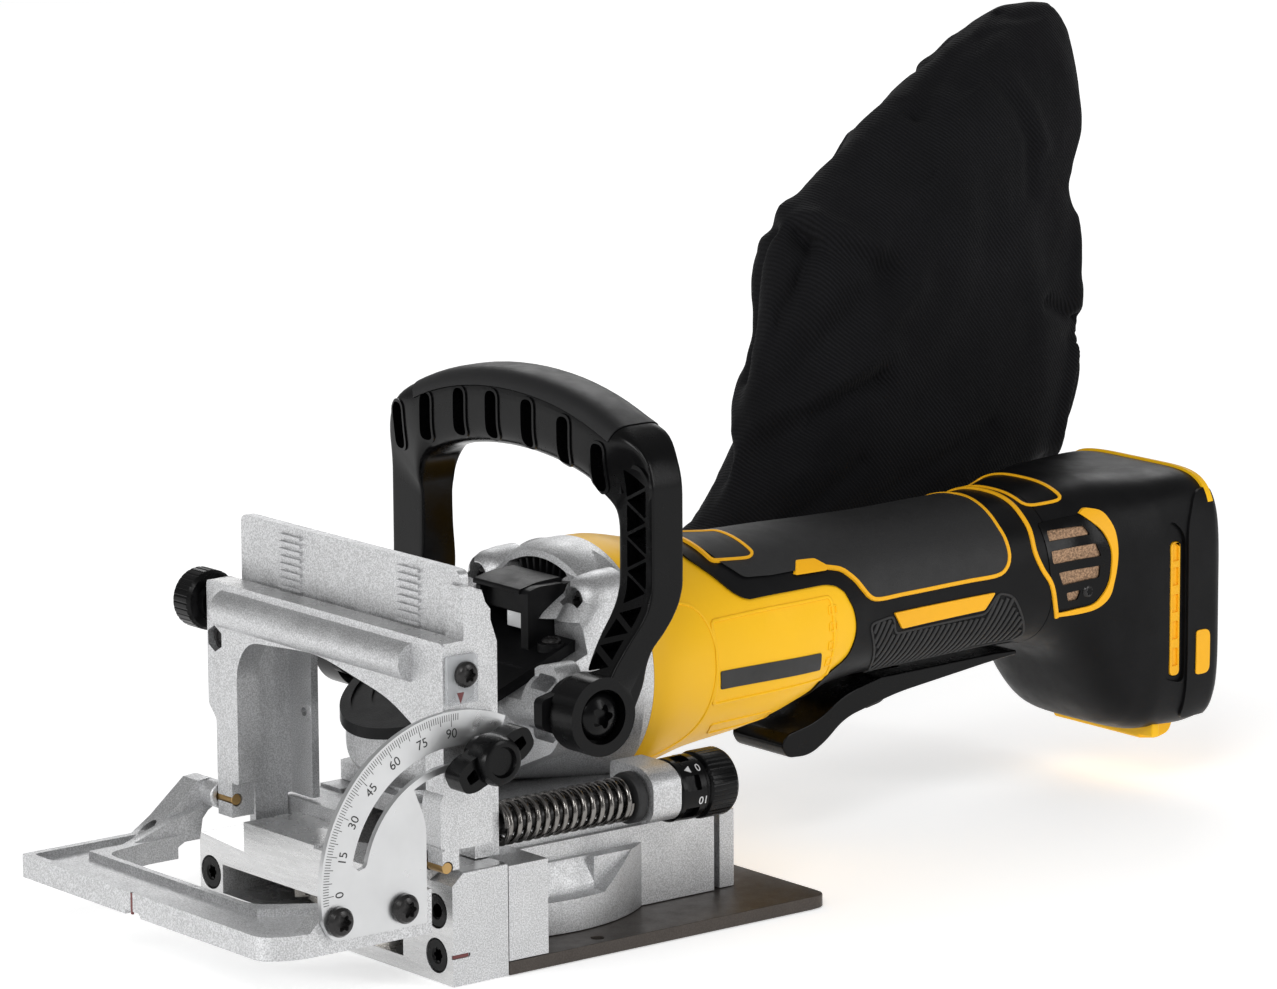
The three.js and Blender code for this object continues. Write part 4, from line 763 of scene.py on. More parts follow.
def make_protractor():
    """The angle scale: a quarter round with a curved slot, its lines and its numbers."""
    py, pz = HINGE

    def arc(r, a, b, count):
        return [polar(HINGE, r, a + (b - a) * i / count) for i in range(count + 1)]

    rim = [*arc(53, 190, 66, 96), *arc(33.3, 66, 118, 40), (py - 11, pz + 18, 4),
           (py - 11, pz - 15.5, 1), (py - 49, pz - 15.5, 3)]
    ends = [polar(HINGE, r, a) for r, a in ((40.9, 169), (38.5, 170.6), (36.1, 169),
                                            (36.1, 73), (38.5, 71.4), (40.9, 73))]
    slot = [*arc(41.4, 75, 167, 72), *ends[:3], *arc(35.6, 167, 75, 72), *ends[3:]]
    plate = cut(prism("x", rim, 80, 82), prism("x", slot, 79, 84),
                *[bar("x", y, z, 79, 84, 2.2) for y, z in SCALE_SCREWS.values()])
    finish(plate, "protractor_fine", "satin", "fence_body", ("protractor_plate",), bevel=0.25)
    ticks = []
    for degree in range(-3, 94):
        length = 4.2 if degree % 15 == 0 else 3.4 if degree % 5 == 0 else 2.2
        r0, r1, half = 52.2 - length, 52.2, 0.11
        angle = rad(ZERO_ANGLE - degree)
        c, s = math.cos(angle), math.sin(angle)
        quad = [(py + r * c - q * s, pz + r * s + q * c)
                for r, q in ((r0, -half), (r1, -half), (r1, half), (r0, half))]
        ticks.append(prism("x", quad, 81.98, 82.04))
    finish(merge(*ticks), "protractor_ticks", "ink", "fence_body", bevel=0, flat=False)
    digits = []
    for degree in range(0, 91, 15):
        a = rad(ZERO_ANGLE - degree)
        out = Vector((0, math.cos(a), math.sin(a)))
        y, z = polar(HINGE, 45.6, ZERO_ANGLE - degree)
        digits.append(letters(str(degree), 4.5, basis(Vector((0, out.z, -out.y)), out, (82.0, y, z))))
    finish(merge(*digits), "protractor_digits", "ink", "fence_body", bevel=0, flat=False)


# ---------------------------------------------------------------- gearcase and its fittings
HUB = (14, 79)
MOTOR_Z = 80  # height of the motor's axis
CASE_ROWS = [(-27.5, 15, 9, 62, 2.6), (-22, 23, 14, 62, 2.6), (-8, 29, 18, 64, 2.6),
             (4, 31, 21, 67, 2.6), (18, 33, 27, 72, 2.6), (34, 36, 34, 76.5, 2.6),
             (56, 42, 41.5, 80, 2.6)]


def make_gearcase():
    skin = skinned(CASE_ROWS, step=2.5, count=96)
    parts = [turned("y", 0, MOTOR_Z, [(0, 43.4), (36, 43.4), (39.6, 44.6), (41.6, 48), (42.6, 53),
                                      (42.6, 59.7), (0, 59.7)], 128),
             bar("z", 0, 0, 34, 52, 17.5, 72)]
    for s in (1, -1):
        parts.append(prism("y", [(s * 20, 50), (s * 50, 63, 3), (s * 54.7, 69, 2), (s * 54.7, 88, 4),
                                 (s * 51, 93.4, 4), (s * 43, 92.4, 6), (s * 33, 84, 4), (s * 20, 80)],
                           10, 20))
        parts.append(bar("x", *HUB, *reach_to(s, 20, 54.7), 10, 56))
        parts.append(turned("y", s * 27, 107, [(0, 37.5), (5.6, 37.5), (7.4, 39), (8.8, 42), (9.6, 48),
                                               (9.8, 54), (0, 54)], 56))
        for z in (60, 68):
            parts.append(prism("z", [(s * 24, 8), (s * 40, 11), (s * 40, 13), (s * 24, 24)],
                               z - 1.2, z + 1.2))
        parts.append(hull((s * 26.5, 48, 106.5, 9.6), (s * 30, 30, 88, 7.5), (s * 33, 21, 84, 7),
                          (s * 34, 50, 92, 8), (s * 22, 50, 96, 8), (s * 30, 40, 100, 8)))
        parts.append(hull((s * 30, 26, 80, 8), (s * 26, 20, 66, 8), (s * 30, 48, 66, 8),
                          (s * 33, 50, 84, 8)))
    body = union(skin, *parts)
    tools = [bar("z", 0, 0, 33, 60, 14.6, 48), bar("z", 0, 0, 50, 73, 20.5, 48),
             bar("y", 0, MOTOR_Z, 9, 31, 10.5, 32), bar("y", 0, MOTOR_Z, 30, 60, 14.5, 40),
             bar("y", 0, MOTOR_Z, 56.5, 61, 34, 48),
             prism("x", [(-34, deck(-34) - 4), (33.4, deck(33.4) - 4), (33.4, 102), (-34, 102)], -41, 41),
             prism("y", [(-19, 88), (-16, 93, 3), (21.8, 93, 3), (21.6, 104, 8), (14, 116.4, 4),
                         (-14, 116.4, 4), (-17, 106, 8)], 15, 43.6, 8)]
    for s in (1, -1):
        tools.append(bar("x", *HUB, *reach_to(s, 36, 56), 2.9, 24))
        tear = [polar((s * 27, 107), 5.2, a) for a in range(-150, 120, 15)]
        tear = tear[:7] + [(s * 27 + 8.4, 104.2)] * (s > 0) + tear[7:] + [(s * 27 - 4.4, 113.8)]
        tools.append(prism("y", tear, 35, 42.6))
        for x0, x1, z0, z1 in ((43, 53, 84.6, 89.6), (40, 52, 66.6, 72)):
            tools.append(prism("y", oblong(*reach_to(s, x0, x1), z0, z1, 2.2), 6, 16))
        tools.append(prism("y", oblong(s * 38.5, s * 51.5, 75.6, 81.6, 2), 8, 11.6))
    centre = (0, MOTOR_Z)
    window = [polar(centre, 37.4, a) for a in range(64, 117, 4)]
    window += [polar(centre, 28, a) for a in range(116, 63, -4)]
    tools.append(prism("y", window, 38, 49.5))
    remake(cut(body, *tools), "gearcase", "cast", bevel=0.9, angle=28, segments=3)
    fins = [prism("y", [polar(centre, r, c + a) for r, a in ((28.4, -1.2), (36.9, -0.9), (36.9, 0.9),
                                                             (28.4, 1.2))], 44.6, 49.2)
            for c in range(67, 115, 6)]
    back = prism("y", [(x * 0.995, MOTOR_Z + (z - MOTOR_Z) * 0.995) for x, z in window], 48.2, 49.3)
    on_carriage(merge(back, *fins), "gearcase_louvres", "black", bevel=0.2)
    for s, name in SIDES:
        screw(s * 27, 107, -1, 42.4, 3.9, 3.4, "gearcase_screw_" + name, "carriage_body", axis="y")
    make_deflector()
    make_washers()


def deck(y):
    """Height of the chip deflector's sloping deck."""
    return 81.6 + (y + 3.6) * 0.385


def make_deflector():
    """The black tray on the sloping deck, with its hood, window and screws."""
    def slab(low, high, x0, x1, y0, y1):
        return prism("x", [(y0, deck(y0) + low), (y0, deck(y0) + high), (y1, deck(y1) + high),
                           (y1, deck(y1) + low)], x0, x1)

    foot = union(bar("z", 0, 0, 60, 125, 33.4, 128), box(-33.4, 33.4, 0, 33, 60, 125),
                 box(-16.6, 21.4, 20, 43.2, 60, 125))
    inner = union(bar("z", 0, 0, 60, 125, 29.6, 128), box(-29.6, 29.6, 0, 60, 60, 125))
    plate = within(slab(-3.9, 0, -34, 34, -34, 43.2), foot)
    plate = cut(plate, within(slab(-0.9, 2, -34, 34, -34, 14), inner),
                within(slab(-1.6, 2, -34, 34, -34, 8), bar("z", 0, 0, 60, 125, 22.5, 96)),
                box(-34, -30.9, -34, -6.2, 60, 125))
    ear_x, ear_y = 27.4, 27.6
    corners = [bar("z", s * ear_x, ear_y, deck(ear_y) - 3.6, deck(ear_y) + 1.1, 4.8, 40) for s, _ in SIDES]
    low = deck(22) - 2
    hood = prism("x", [(22.6, low), (22.6, 111.6, 1.4), (27, 112.8, 2), (38, 112.8, 1), (38, low)], 17, 21)
    panel = prism("x", [(25.4, 102.4, 0.8), (25.4, 111, 1), (38, 112, 1), (38, 102.4)], -6, 17.4)
    wall = prism("x", [(22.6, low), (22.6, 110.4, 1.4), (27, 112, 2), (38, 112), (38, low)], -8, -5.6)
    back = box(-8, 20.8, 36, 42.8, low, 112.4)
    lid = prism("x", [(21.6, 110.2, 0.5), (21.8, 111.9, 0.7), (30, 113.6, 2), (40, 114, 1), (40, 111.6, 1),
                      (30, 111.4, 2)], -8.6, 17.2)
    body = union(plate, hood, panel, wall, back, lid, *corners)
    tools = [slab(-1.7, 2, x, x + 1.1, -12, -2) for x in (17, 20)]
    remake(cut(body, *tools), "chip_deflector", "black", bevel=0.45)
    on_carriage(box(3, 16.6, 27.4, 29, 96.6, 102.6), "deflector_window", "satin", bevel=0.2)
    for s, name in SIDES:
        screw(s * ear_x, ear_y, 1, deck(ear_y) + 1.0, 3.3, 1.9, "deflector_screw_" + name, "carriage_body",
              axis="z")


def make_washers():
    for s, side in SIDES:
        a, b = 55.2 * s, 59.6 * s
        ring = turned("x", *HUB, [(3.3, a), (10.4, a), (11.1, a + 0.5 * s), (11.1, b), (3.3, b), (3.3, a)])
        ear = prism("x", [(HUB[0] + u, HUB[1] + v, 2) for u, v in ((-15.4, -4.4), (-8, -7.6), (-6, 7.4),
                                                                   (-15.4, 5.4))], *sorted((a, b)))
        body = cut(union(ring, ear), bar("x", *HUB, *sorted((a - s, b + s)), 3.3))
        remake(body, "handle_washer_" + side, "black", bevel=0.5)
        profile = [(0, 38), (2.6, 38), (2.6, 67.5), (8.4, 67.5), (8.5, 69.2), (7.6, 70.8), (5.6, 72.1),
                   (3.2, 72.8), (0, 73)]
        head = turned("x", *HUB, [(r, x * s) for r, x in profile], 72)
        recess = star("x", *HUB, *reach_to(s, 70.2, 74), 3.5, lobes=5, depth=0.24)
        remake(cut(head, recess), "handle_screw_" + side, "gloss", bevel=0.15)


# ---------------------------------------------------------------- front handle
def quadratic(a, b, c, t):
    """The point at t (0..1) on a curve from a to c, drawn towards b."""
    return tuple(p * (1 - t) ** 2 + q * 2 * t * (1 - t) + r * t * t for p, q, r in zip(a, b, c))


def arch(t):
    """Inner and outer edge (x, z) of the handle's bow; t runs 0..3 from the left leg to the middle."""
    if t <= 1:
        return (55, 126 + 10 * t), (73, 126 + 24 * t)
    if t <= 2:
        return (quadratic((55, 136), (55, 146), (45, 149.5), t - 1),
                quadratic((73, 150), (73, 165), (59, 171.5), t - 1))
    return (quadratic((45, 149.5), (25, 156.5), (0, 156.5), t - 2),
            quadratic((59, 171.5), (33, 183.5), (0, 183.5), t - 2))


def bow(grow=0.0):
    """The whole bow, leg to leg, with a fuller section across the top where it's held."""
    rings = []
    ts = [3 * i / 30 for i in range(31)]
    for s, row in ((1, ts), (-1, ts[-2::-1])):
        for t in row:
            inner, outer = arch(t)
            middle = Vector(((inner[0] + outer[0]) / 2 * s, 41.75, (inner[1] + outer[1]) / 2))
            across = Vector(((outer[0] - inner[0]) / 2 * s, 0, (outer[1] - inner[1]) / 2))
            swell = min(max((t - 1.35) / 0.8, 0), 1) if s > 0 else min(max((t - 0.5) / 1.6, 0), 1)
            swell = swell * swell * (3 - 2 * swell)
            half = 6.75 + 4.0 * swell + grow
            size = across.length + grow
            n = 18 - 14.6 * swell
            rings.append([tuple(middle + across.normalized() * size * c + Vector((0, half, 0)) * d)
                          for c, d in squared(n, 56)])
    return loft(rings)


SHANK = [(80, 13.5, 27.6, 60.5), (88, 15.5, 31.4, 60.5), (93, 18, 32.6, 59.5), (98.3, 21.8, 35, 58),
         (103.7, 26.2, 40.2, 56.6), (109, 30.8, 44.4, 55.6), (114.5, 33.8, 47.2, 55.1),
         (120, 34.9, 48.4, 55), (126.5, 35, 48.5, 55)]
FAR_SHANK = [(80, 13.5, 27.6, 60.5), (86, 15, 34, 60.5), (92, 21, 43, 59.7), (98, 30, 49, 58),
             (104, 34.5, 50.5, 56.6), (112, 35, 49.6, 55.4), (120, 35, 48.7, 55), (126.5, 35, 48.5, 55)]


def shank(s):
    """The handle's lower leg, from the bow down and forward to the hub."""
    rings = []
    for k in range(32):
        z = 80 + 46.5 * k / 31
        front, rear, inner = spline(SHANK if s > 0 else FAR_SHANK, z)
        rings.append([(s * ((73 + inner) / 2 + (73 - inner) / 2 * c),
                       (front + rear) / 2 + (rear - front) / 2 * d, z) for c, d in squared(18, 56)])
    return loft(rings)


def pad_band(grow):
    """A block that holds the top of the bow, where the soft pad is."""
    lower, upper = [], []
    for k in range(21):
        inner, outer = (Vector(p) for p in arch(2.03 + 0.97 * k / 20))
        d = (outer - inner).normalized()
        lower.append(tuple(outer - d * (6.2 + grow)))
        upper.append(tuple(outer + d * 4))
    ring = upper + [(-x, z) for x, z in upper[::-1][1:]]
    base = [(-x, z) for x, z in lower] + lower[::-1][1:]
    return prism("y", ring + base, 20, 64)


def make_handle():
    """The arched handle: bow, legs, hubs, triangular pits on the left leg and slots under the pad."""
    body = bow()
    parts, tools = [], []
    for s in (1, -1):
        parts.append(shank(s))
        parts.append(bar("x", *HUB, *reach_to(s, 61, 73), 13.4, 96))
        tools.append(bar("x", *HUB, *reach_to(s, 67, 74), 9.3, 72))
        tools.append(bar("x", *HUB, *reach_to(s, 58, 74), 2.9, 32))
        if s < 0:
            continue
        z, up = 112.6, 1
        while z < 149:
            a, b = (59.6, 69.6) if up > 0 else (69.6, 59.6)
            tri = [(a, z, 0.7), (a, z + 9.6, 0.7), (b, z + 4.8, 0.7)]
            tools.append(prism("y", tri, 33, 40, 3))
            z, up = z + 6.0, -up
        for k, (y0, z0, lean) in enumerate(((31.6, 109.6, -22), (27.4, 105, -40), (23, 99.9, -42),
                                            (19.2, 94.6, -36))):
            up = 1 if k % 2 else -1
            pit = prism("y", [(64.6 - 4.8 * up, -4), (64.6 - 4.8 * up, 4), (64.6 + 4.8 * up, 0)], -4, 4.5)
            tools.append(stood(pit, (0, y0, z0), rad(lean), "X"))
        rim = [polar((64.4, 152), r, a)
               for r, turn in ((8.3, range(-20, 201, 10)), (6.9, range(200, -21, -10))) for a in turn]
        parts.append(prism("y", rim, 34.1, 38))
    for x, low, high in ((-64.6, 147.4, 164), (-47, 153, 169.6), (-27.6, 157.4, 174), (-9.4, 158.9, 175.5),
                         (10.6, 158.8, 175.3), (30.4, 155.7, 172.2), (48.8, 149.2, 165.6)):
        tools.append(prism("y", oblong(x - 3.1, x + 3.1, low, high, 3), 28, 37.5))
        lip = oblong(x - 4.1, x + 4.1, low - 1, high + 1, 4)
        parts.append(within(bow(0.55), prism("y", lip, 25, 37)))
    tools.append(pad_band(0.3))
    remake(cut(union(body, *parts), *tools), "handle_frame", "gloss", bevel=0.7, angle=30, segments=3)
    remake(within(bow(0.35), pad_band(0)), "handle_pad", "soft", bevel=0.5)


# ---------------------------------------------------------------- motor case, grip, battery foot
YELLOW_ROWS = [(60, 42.4, 42.4, 80, 2), (66, 42.4, 42.4, 80, 2), (72, 41.6, 41.6, 80, 2),
               (80, 39.8, 39.8, 80, 2), (95, 36.9, 36.9, 80, 2), (115, 35, 35, 80, 2),
               (130, 34, 33.5, 81, 2.05), (145, 32.3, 31, 83.2, 2.15), (158, 30.6, 28.3, 85.4, 2.3),
               (163, 30.2, 28, 85.7, 2.35)]
SHELL_ROWS = [(86, 39.2, 39.2, 80, 2), (95, 37.9, 37.9, 80, 2), (115, 36, 36, 80, 2),
              (130, 34.9, 34.4, 81, 2.05), (145, 33.1, 31.8, 83.2, 2.15),
              (158, 31.3, 29, 85.4, 2.3), (172, 29.9, 27.9, 86, 2.4), (200, 29.2, 27.4, 86.2, 2.4),
              (228, 29.6, 27.4, 86.6, 2.4), (244, 30.7, 27.9, 86.9, 2.4), (252, 31.6, 28.4, 87, 2.4),
              (262, 33, 30.6, 86.6, 2.6), (268, 34.4, 33, 84.8, 2.9), (274, 35.8, 38.4, 80, 3.2),
              (280, 37, 43.2, 75.5, 3.6), (289, 39, 47, 71.5, 4), (299, 40, 48, 70, 4.8),
              (314, 40, 48, 70, 5.5), (323, 40, 47, 70, 5.5),
              (325.6, 39.4, 46.2, 70, 5.2), (327, 38.3, 45, 70, 5)]
EDGE = [(94.5, 112.8), (100.4, 106.6), (105, 101.4, 3), (109.2, 99, 2), (111.6, 98.5), (129, 98.6),
        (147.3, 98.6, 5), (152, 97.2), (155.2, 94.8), (159.6, 86.8, 6), (160.5, 79.2, 8), (158, 70, 6),
        (151.8, 66.5), (146.9, 62.2, 3), (148.4, 52.4)]
STRIPE = [(148.3, 104), (155.1, 102.5), (157.9, 100.7), (161, 97.9), (163.7, 94.5), (166.7, 91.5),
          (170.9, 90.2), (182, 90.3), (193.3, 90.4), (203, 90.6), (213.8, 90.8), (226.3, 91)]
PAD_EDGE = [(103, 116), (106, 111), (112.4, 105.4, 2), (124.2, 104.6), (135, 104.7), (148.3, 104)]
TOP_BADGE = [(-19, 249.6, 4), (19, 249.6, 4), (22.5, 264.4, 4), (-22.5, 264.4, 4)]
FRONT_BADGE = [(-4, 100, 2), (21, 103, 2), (21.4, 120, 3), (19, 123, 3), (-1, 121.6, 2)]


def lift(rows, p):
    """The point (mm) moved out or in onto the skin, and the skin's normal there."""
    w, h, zc, n = spline(rows, p[1])
    x, z = p[0], p[2] - zc
    t = (abs(x / w) ** n + abs(z / h) ** n) ** (-1 / n)
    x, z = x * t, z * t
    normal = Vector((math.copysign(abs(x / w) ** (n - 1) / w, x), 0,
                     math.copysign(abs(z / h) ** (n - 1) / h, z))).normalized()
    return Vector((x, p[1], z + zc)), normal


def beside(rows, y, z, side):
    """The point of the skin seen from the side at (y, z)."""
    w, h, zc, n = spline(rows, y)
    k = min(abs((z - zc) / h), 0.999)
    return (side * w * (1 - k ** n) ** (1 / n), y, z)


def smooth(points, step):
    """A Catmull-Rom curve through points, about step apart."""
    p = [Vector(q) for q in points]
    p = [p[0] * 2 - p[1]] + p + [p[-1] * 2 - p[-2]]
    out = []
    for i in range(1, len(p) - 2):
        count = max(1, int((p[i + 1] - p[i]).length / step))
        for k in range(count):
            t = k / count
            out.append(0.5 * (2 * p[i] + (p[i + 1] - p[i - 1]) * t
                              + (2 * p[i - 1] - 5 * p[i] + 4 * p[i + 1] - p[i + 2]) * t * t
                              + (3 * p[i] - p[i - 1] - 3 * p[i + 1] + p[i + 2]) * t ** 3))
    return out + [p[-2]]


def stripe(rows, points, width, height, step=1.2):
    """A raised strip through 3-D points laid on the skin."""
    lifted = [lift(rows, p) for p in smooth(points, step)]
    path = [p for p, _ in lifted]
    last = len(path) - 1
    return loft([strip_ring(p, path[max(i - 1, 0)], path[min(i + 1, last)], lifted[i][1], width, height,
                            0.72, 0.55, 0.3) for i, p in enumerate(path)])


def loop(rows, ring, width, height, side):
    """A raised outline round a rounded (y, z) outline on the side of the skin."""
    pts = rounded(ring, 5)
    dense = []
    for i, a in enumerate(pts):
        b = pts[(i + 1) % len(pts)]
        count = max(1, int((b - a).length / 1.6))
        dense += [a.lerp(b, k / count) for k in range(count)]
    dense.append(dense[0])
    lifted = [lift(rows, beside(rows, q.x, q.y, side)) for q in dense]
    n = len(lifted) - 1
    rings = [strip_ring(lifted[i][0], lifted[i - 1][0], lifted[(i + 1) % n][0], lifted[i][1], width, height,
                        0.6, 0.5, 0.4) for i in range(n)]
    ob = loft(rings + [rings[0]], caps=False)
    with editing(ob.data) as bm:
        bmesh.ops.remove_doubles(bm, verts=bm.verts, dist=1e-6)
        bmesh.ops.recalc_face_normals(bm, faces=bm.faces)
    return ob


def patch(rows, ring, low, high, start, end, side, step=2.0):
    """A plate that follows the skin between two offsets, cut to a (y, z) outline on one side."""
    shell = cut(skinned(rows, high, step, start, end, 96), skinned(rows, low, step, start - 2, end + 2, 96))
    return within(shell, prism("x", ring, *reach_to(side, 4, 60)))


def make_motor_case():
    body = cut(skinned(YELLOW_ROWS, 0, 2.5, 60, 162, 96), skinned(YELLOW_ROWS, -2.6, 3, 56, 152, 64))
    panel = [(90.8, 94.1, 2), (148, 94.3, 2), (150.2, 63.9, 2), (92.1, 64.4, 2)]
    remake(body, "motor_case", "yellow", bevel=0.6, angle=40)
    for s, side in SIDES:
        on_carriage(loop(YELLOW_ROWS, panel, 1.3, 0.45, s), "label_border_" + side, "yellow", **LINE)
        bar_ring = [(93.3, 76.6, 0.8), (142.9, 75.1, 0.8), (144.4, 68.3, 0.8), (94.5, 69.8, 0.8)]
        on_carriage(patch(YELLOW_ROWS, bar_ring, -0.3, 0.35, 88, 150, s), "label_bar_" + side, "ink",
                    bevel=0.08)
        for k, z in enumerate((89.7, 83.8, 77, 70.9)):
            ring = oblong(146.6, 150.2, z - 1.4, z + 1.4, 0.5)
            name = "label_tab_%d_%s" % (k, side)
            on_carriage(loop(YELLOW_ROWS, ring, 0.7, 0.4, s), name, "yellow", **LINE)
        seam = [beside(YELLOW_ROWS, y, z, s) for y, z in ((66, 104), (84, 100), (91, 86), (90, 62),
                                                         (83, 52), (68, 48))]
        on_carriage(stripe(YELLOW_ROWS, seam, 1.1, 0.35), "case_swell_" + side, "yellow", **LINE)
        ring = [(97, 55.5, 1), (128, 55, 1), (130, 51.2, 1), (99, 51.2, 1)]
        on_carriage(loop(YELLOW_ROWS, ring, 0.8, 0.35, s), "date_frame_" + side, "yellow", **LINE)


def make_grip():
    """The two black grip shells, the soft pad on top and the yellow trims."""
    region = [(91, 127), (93, 116, 4), *EDGE, (150, 40), (252.1, 40), (252.1, 127)]
    shell = within(skinned(SHELL_ROWS, 0, 2.0, 88, 252.1, 96), prism("x", region, -60, 60))
    hollow = skinned(SHELL_ROWS, -2.6, 3.0, 86, 254, 64)
    way = [box(-14.6, 14.6, 150, 262, 40, 60.3), box(-6, 6, 180, 204, 40, 68)]
    shell = cut(shell, hollow, *way)
    right = cut(placed(shell.data.copy(), "right"), box(-0.07, 60, 80, 300, 0, 160))
    left = cut(shell, box(-60, 0.07, 80, 300, 0, 160))
    finish(left, "grip_shell_left_fine", "black", "carriage_body", ("grip_shell_left", "case_cover"),
           bevel=0.5, angle=38)
    remake(right, "grip_shell_right", "black", bevel=0.5, angle=38)
    raised = [(101, 127), *PAD_EDGE, *STRIPE[1:], (230.7, 92.8, 2), (232.9, 96.7, 3), (233.1, 102.7),
              (232.5, 107.5), (233.2, 112.5), (235.2, 127)]
    pad = cut(skinned(SHELL_ROWS, 0.8, 2.0, 96, 240, 96), skinned(SHELL_ROWS, -0.4, 2.0, 90, 246, 96))
    on_carriage(within(pad, prism("x", raised, -60, 60)), "grip_overmould", "rubber", bevel=0.45, angle=38)
    for s, side in SIDES:
        line = [beside(SHELL_ROWS, y, z, s) for y, z in STRIPE + [(230.7, 92.8), (232.9, 96.7),
                                                                 (233.1, 102.7), (232.5, 107.5)]]
        line += [(13.3 * s, 233.2, 112.5), (1.8 * s, 234.9, 114.3), (0, 235, 114.5)]
        on_carriage(stripe(SHELL_ROWS, line, 1.7, 1.0), "grip_stripe_" + side, "yellow_ink", **LINE)
        tab = [(134.3, 103.4, 0.6), (138, 107.6, 0.8), (146, 107.3, 0.8), (149.6, 104.8, 0.6),
               (148.6, 103.2, 0.6)]
        on_carriage(patch(SHELL_ROWS, tab, -0.2, 1.15, 128, 156, s), "grip_tab_" + side, "yellow_ink",
                    bevel=0.25)
        flash = [(178.1, 84.1, 0.8), (225.7, 84.9, 0.8), (221.1, 79, 0.8), (182.3, 77.7, 0.8)]
        on_carriage(patch(SHELL_ROWS, flash, -0.2, 0.8, 170, 232, s), "grip_flash_" + side, "yellow_ink",
                    bevel=0.25)
        make_ribs(s, side)
        back = [(5.2 * s, 246, 114.8), (15 * s, 245.8, 112.7), (21.8 * s, 245.3, 109),
                (25.8 * s, 245.3, 104.8), (29.6 * s, 244.8, 97.4), (30.9 * s, 247.3, 90.8),
                (31.2 * s, 251.2, 84.9), (30.8 * s, 253.8, 76.9), (29.4 * s, 256, 71.4)]
        on_carriage(stripe(SHELL_ROWS, [(0, 246.1, 115.3)] + back, 1.7, 0.75), "vent_line_" + side,
                    "yellow_ink", **LINE)
    for name, ring, height in (("top_badge", TOP_BADGE, 0.6), ("front_badge", FRONT_BADGE, 1.3)):
        flat = rounded(ring, 4)
        line = [(p.x, p.y, 112) for p in flat + flat[:1]]
        on_carriage(stripe(SHELL_ROWS, line, 1.2, height, step=1.5), name, "yellow_ink", **LINE)


def make_ribs(s, side):
    field = [(166.6, 81.5, 3), (177.9, 83, 2), (179.6, 76.2, 2), (222.2, 77.4, 2), (227.5, 84.3, 2),
             (234.2, 82.7, 4), (245.1, 66.1, 3), (243, 63.7, 2), (175.9, 60.6, 6)]
    ribs = []
    for k in range(31):
        y0 = 165.5 + k * 2.65
        line = []
        for j in range(13):
            q = j / 12
            z = 60.8 + 23 * q
            y = y0 + 6.5 * q ** 1.6 - 2 * (1 - q)
            if inside(field, y, z):
                line.append(beside(SHELL_ROWS, y, z, s))
        if len(line) > 2:
            ribs.append(stripe(SHELL_ROWS, line, 1.5, 0.6, step=2.0))
    on_carriage(merge(*ribs), "grip_ribs_" + side, "rubber", **LINE)
    on_carriage(loop(SHELL_ROWS, field, 1.0, 0.45, s), "grip_rib_border_" + side, "rubber", **LINE)


def inside(ring, y, z):
    """Whether a point lies within an outline."""
    hit = False
    for i, (y1, z1, *_) in enumerate(ring):
        y0, z0 = ring[i - 1][:2]
        if (z1 > z) != (z0 > z) and y < (y0 - y1) * (z - z1) / (z0 - z1) + y1:
            hit = not hit
    return hit


VENT = [(249.6, 106.2, 1), (268.2, 108.2, 2), (276.2, 95.3, 4), (275.2, 84.5, 4), (269.8, 76.2, 3),
        (258.5, 74.6, 2), (254.6, 75.3, 2), (250.6, 87.1, 4)]
FRAME = [(266.4, 108.4), (269, 110.2, 2), (275.4, 108.9, 2.5), (278.4, 102.5, 3), (279, 94.9, 5),
         (278.1, 87.3, 5), (275.5, 77.3, 5), (270.2, 73.4, 4), (263, 71.9, 3), (255.7, 71.6, 1.5),
         (254.9, 73.2, 1), (258.5, 73.4, 2), (269.4, 75.2, 3), (275.3, 82, 5), (276.6, 94.9, 5),
         (273.6, 102, 3)]
WINDOWS = [[(252.1, 103.7), (266.5, 104.2), (268.4, 100.9), (251.4, 99.9)],
           [(251.2, 96.5), (270.3, 97.7), (272, 92.9), (252.2, 91.8)],
           [(254.3, 88.5), (271.5, 89.5), (271, 85.2), (256.2, 83.6)],
           [(257.8, 80.6), (263.8, 81.2), (262.7, 77.6), (259, 77.3)]]
VENT_SCREW = (267, 80.4)


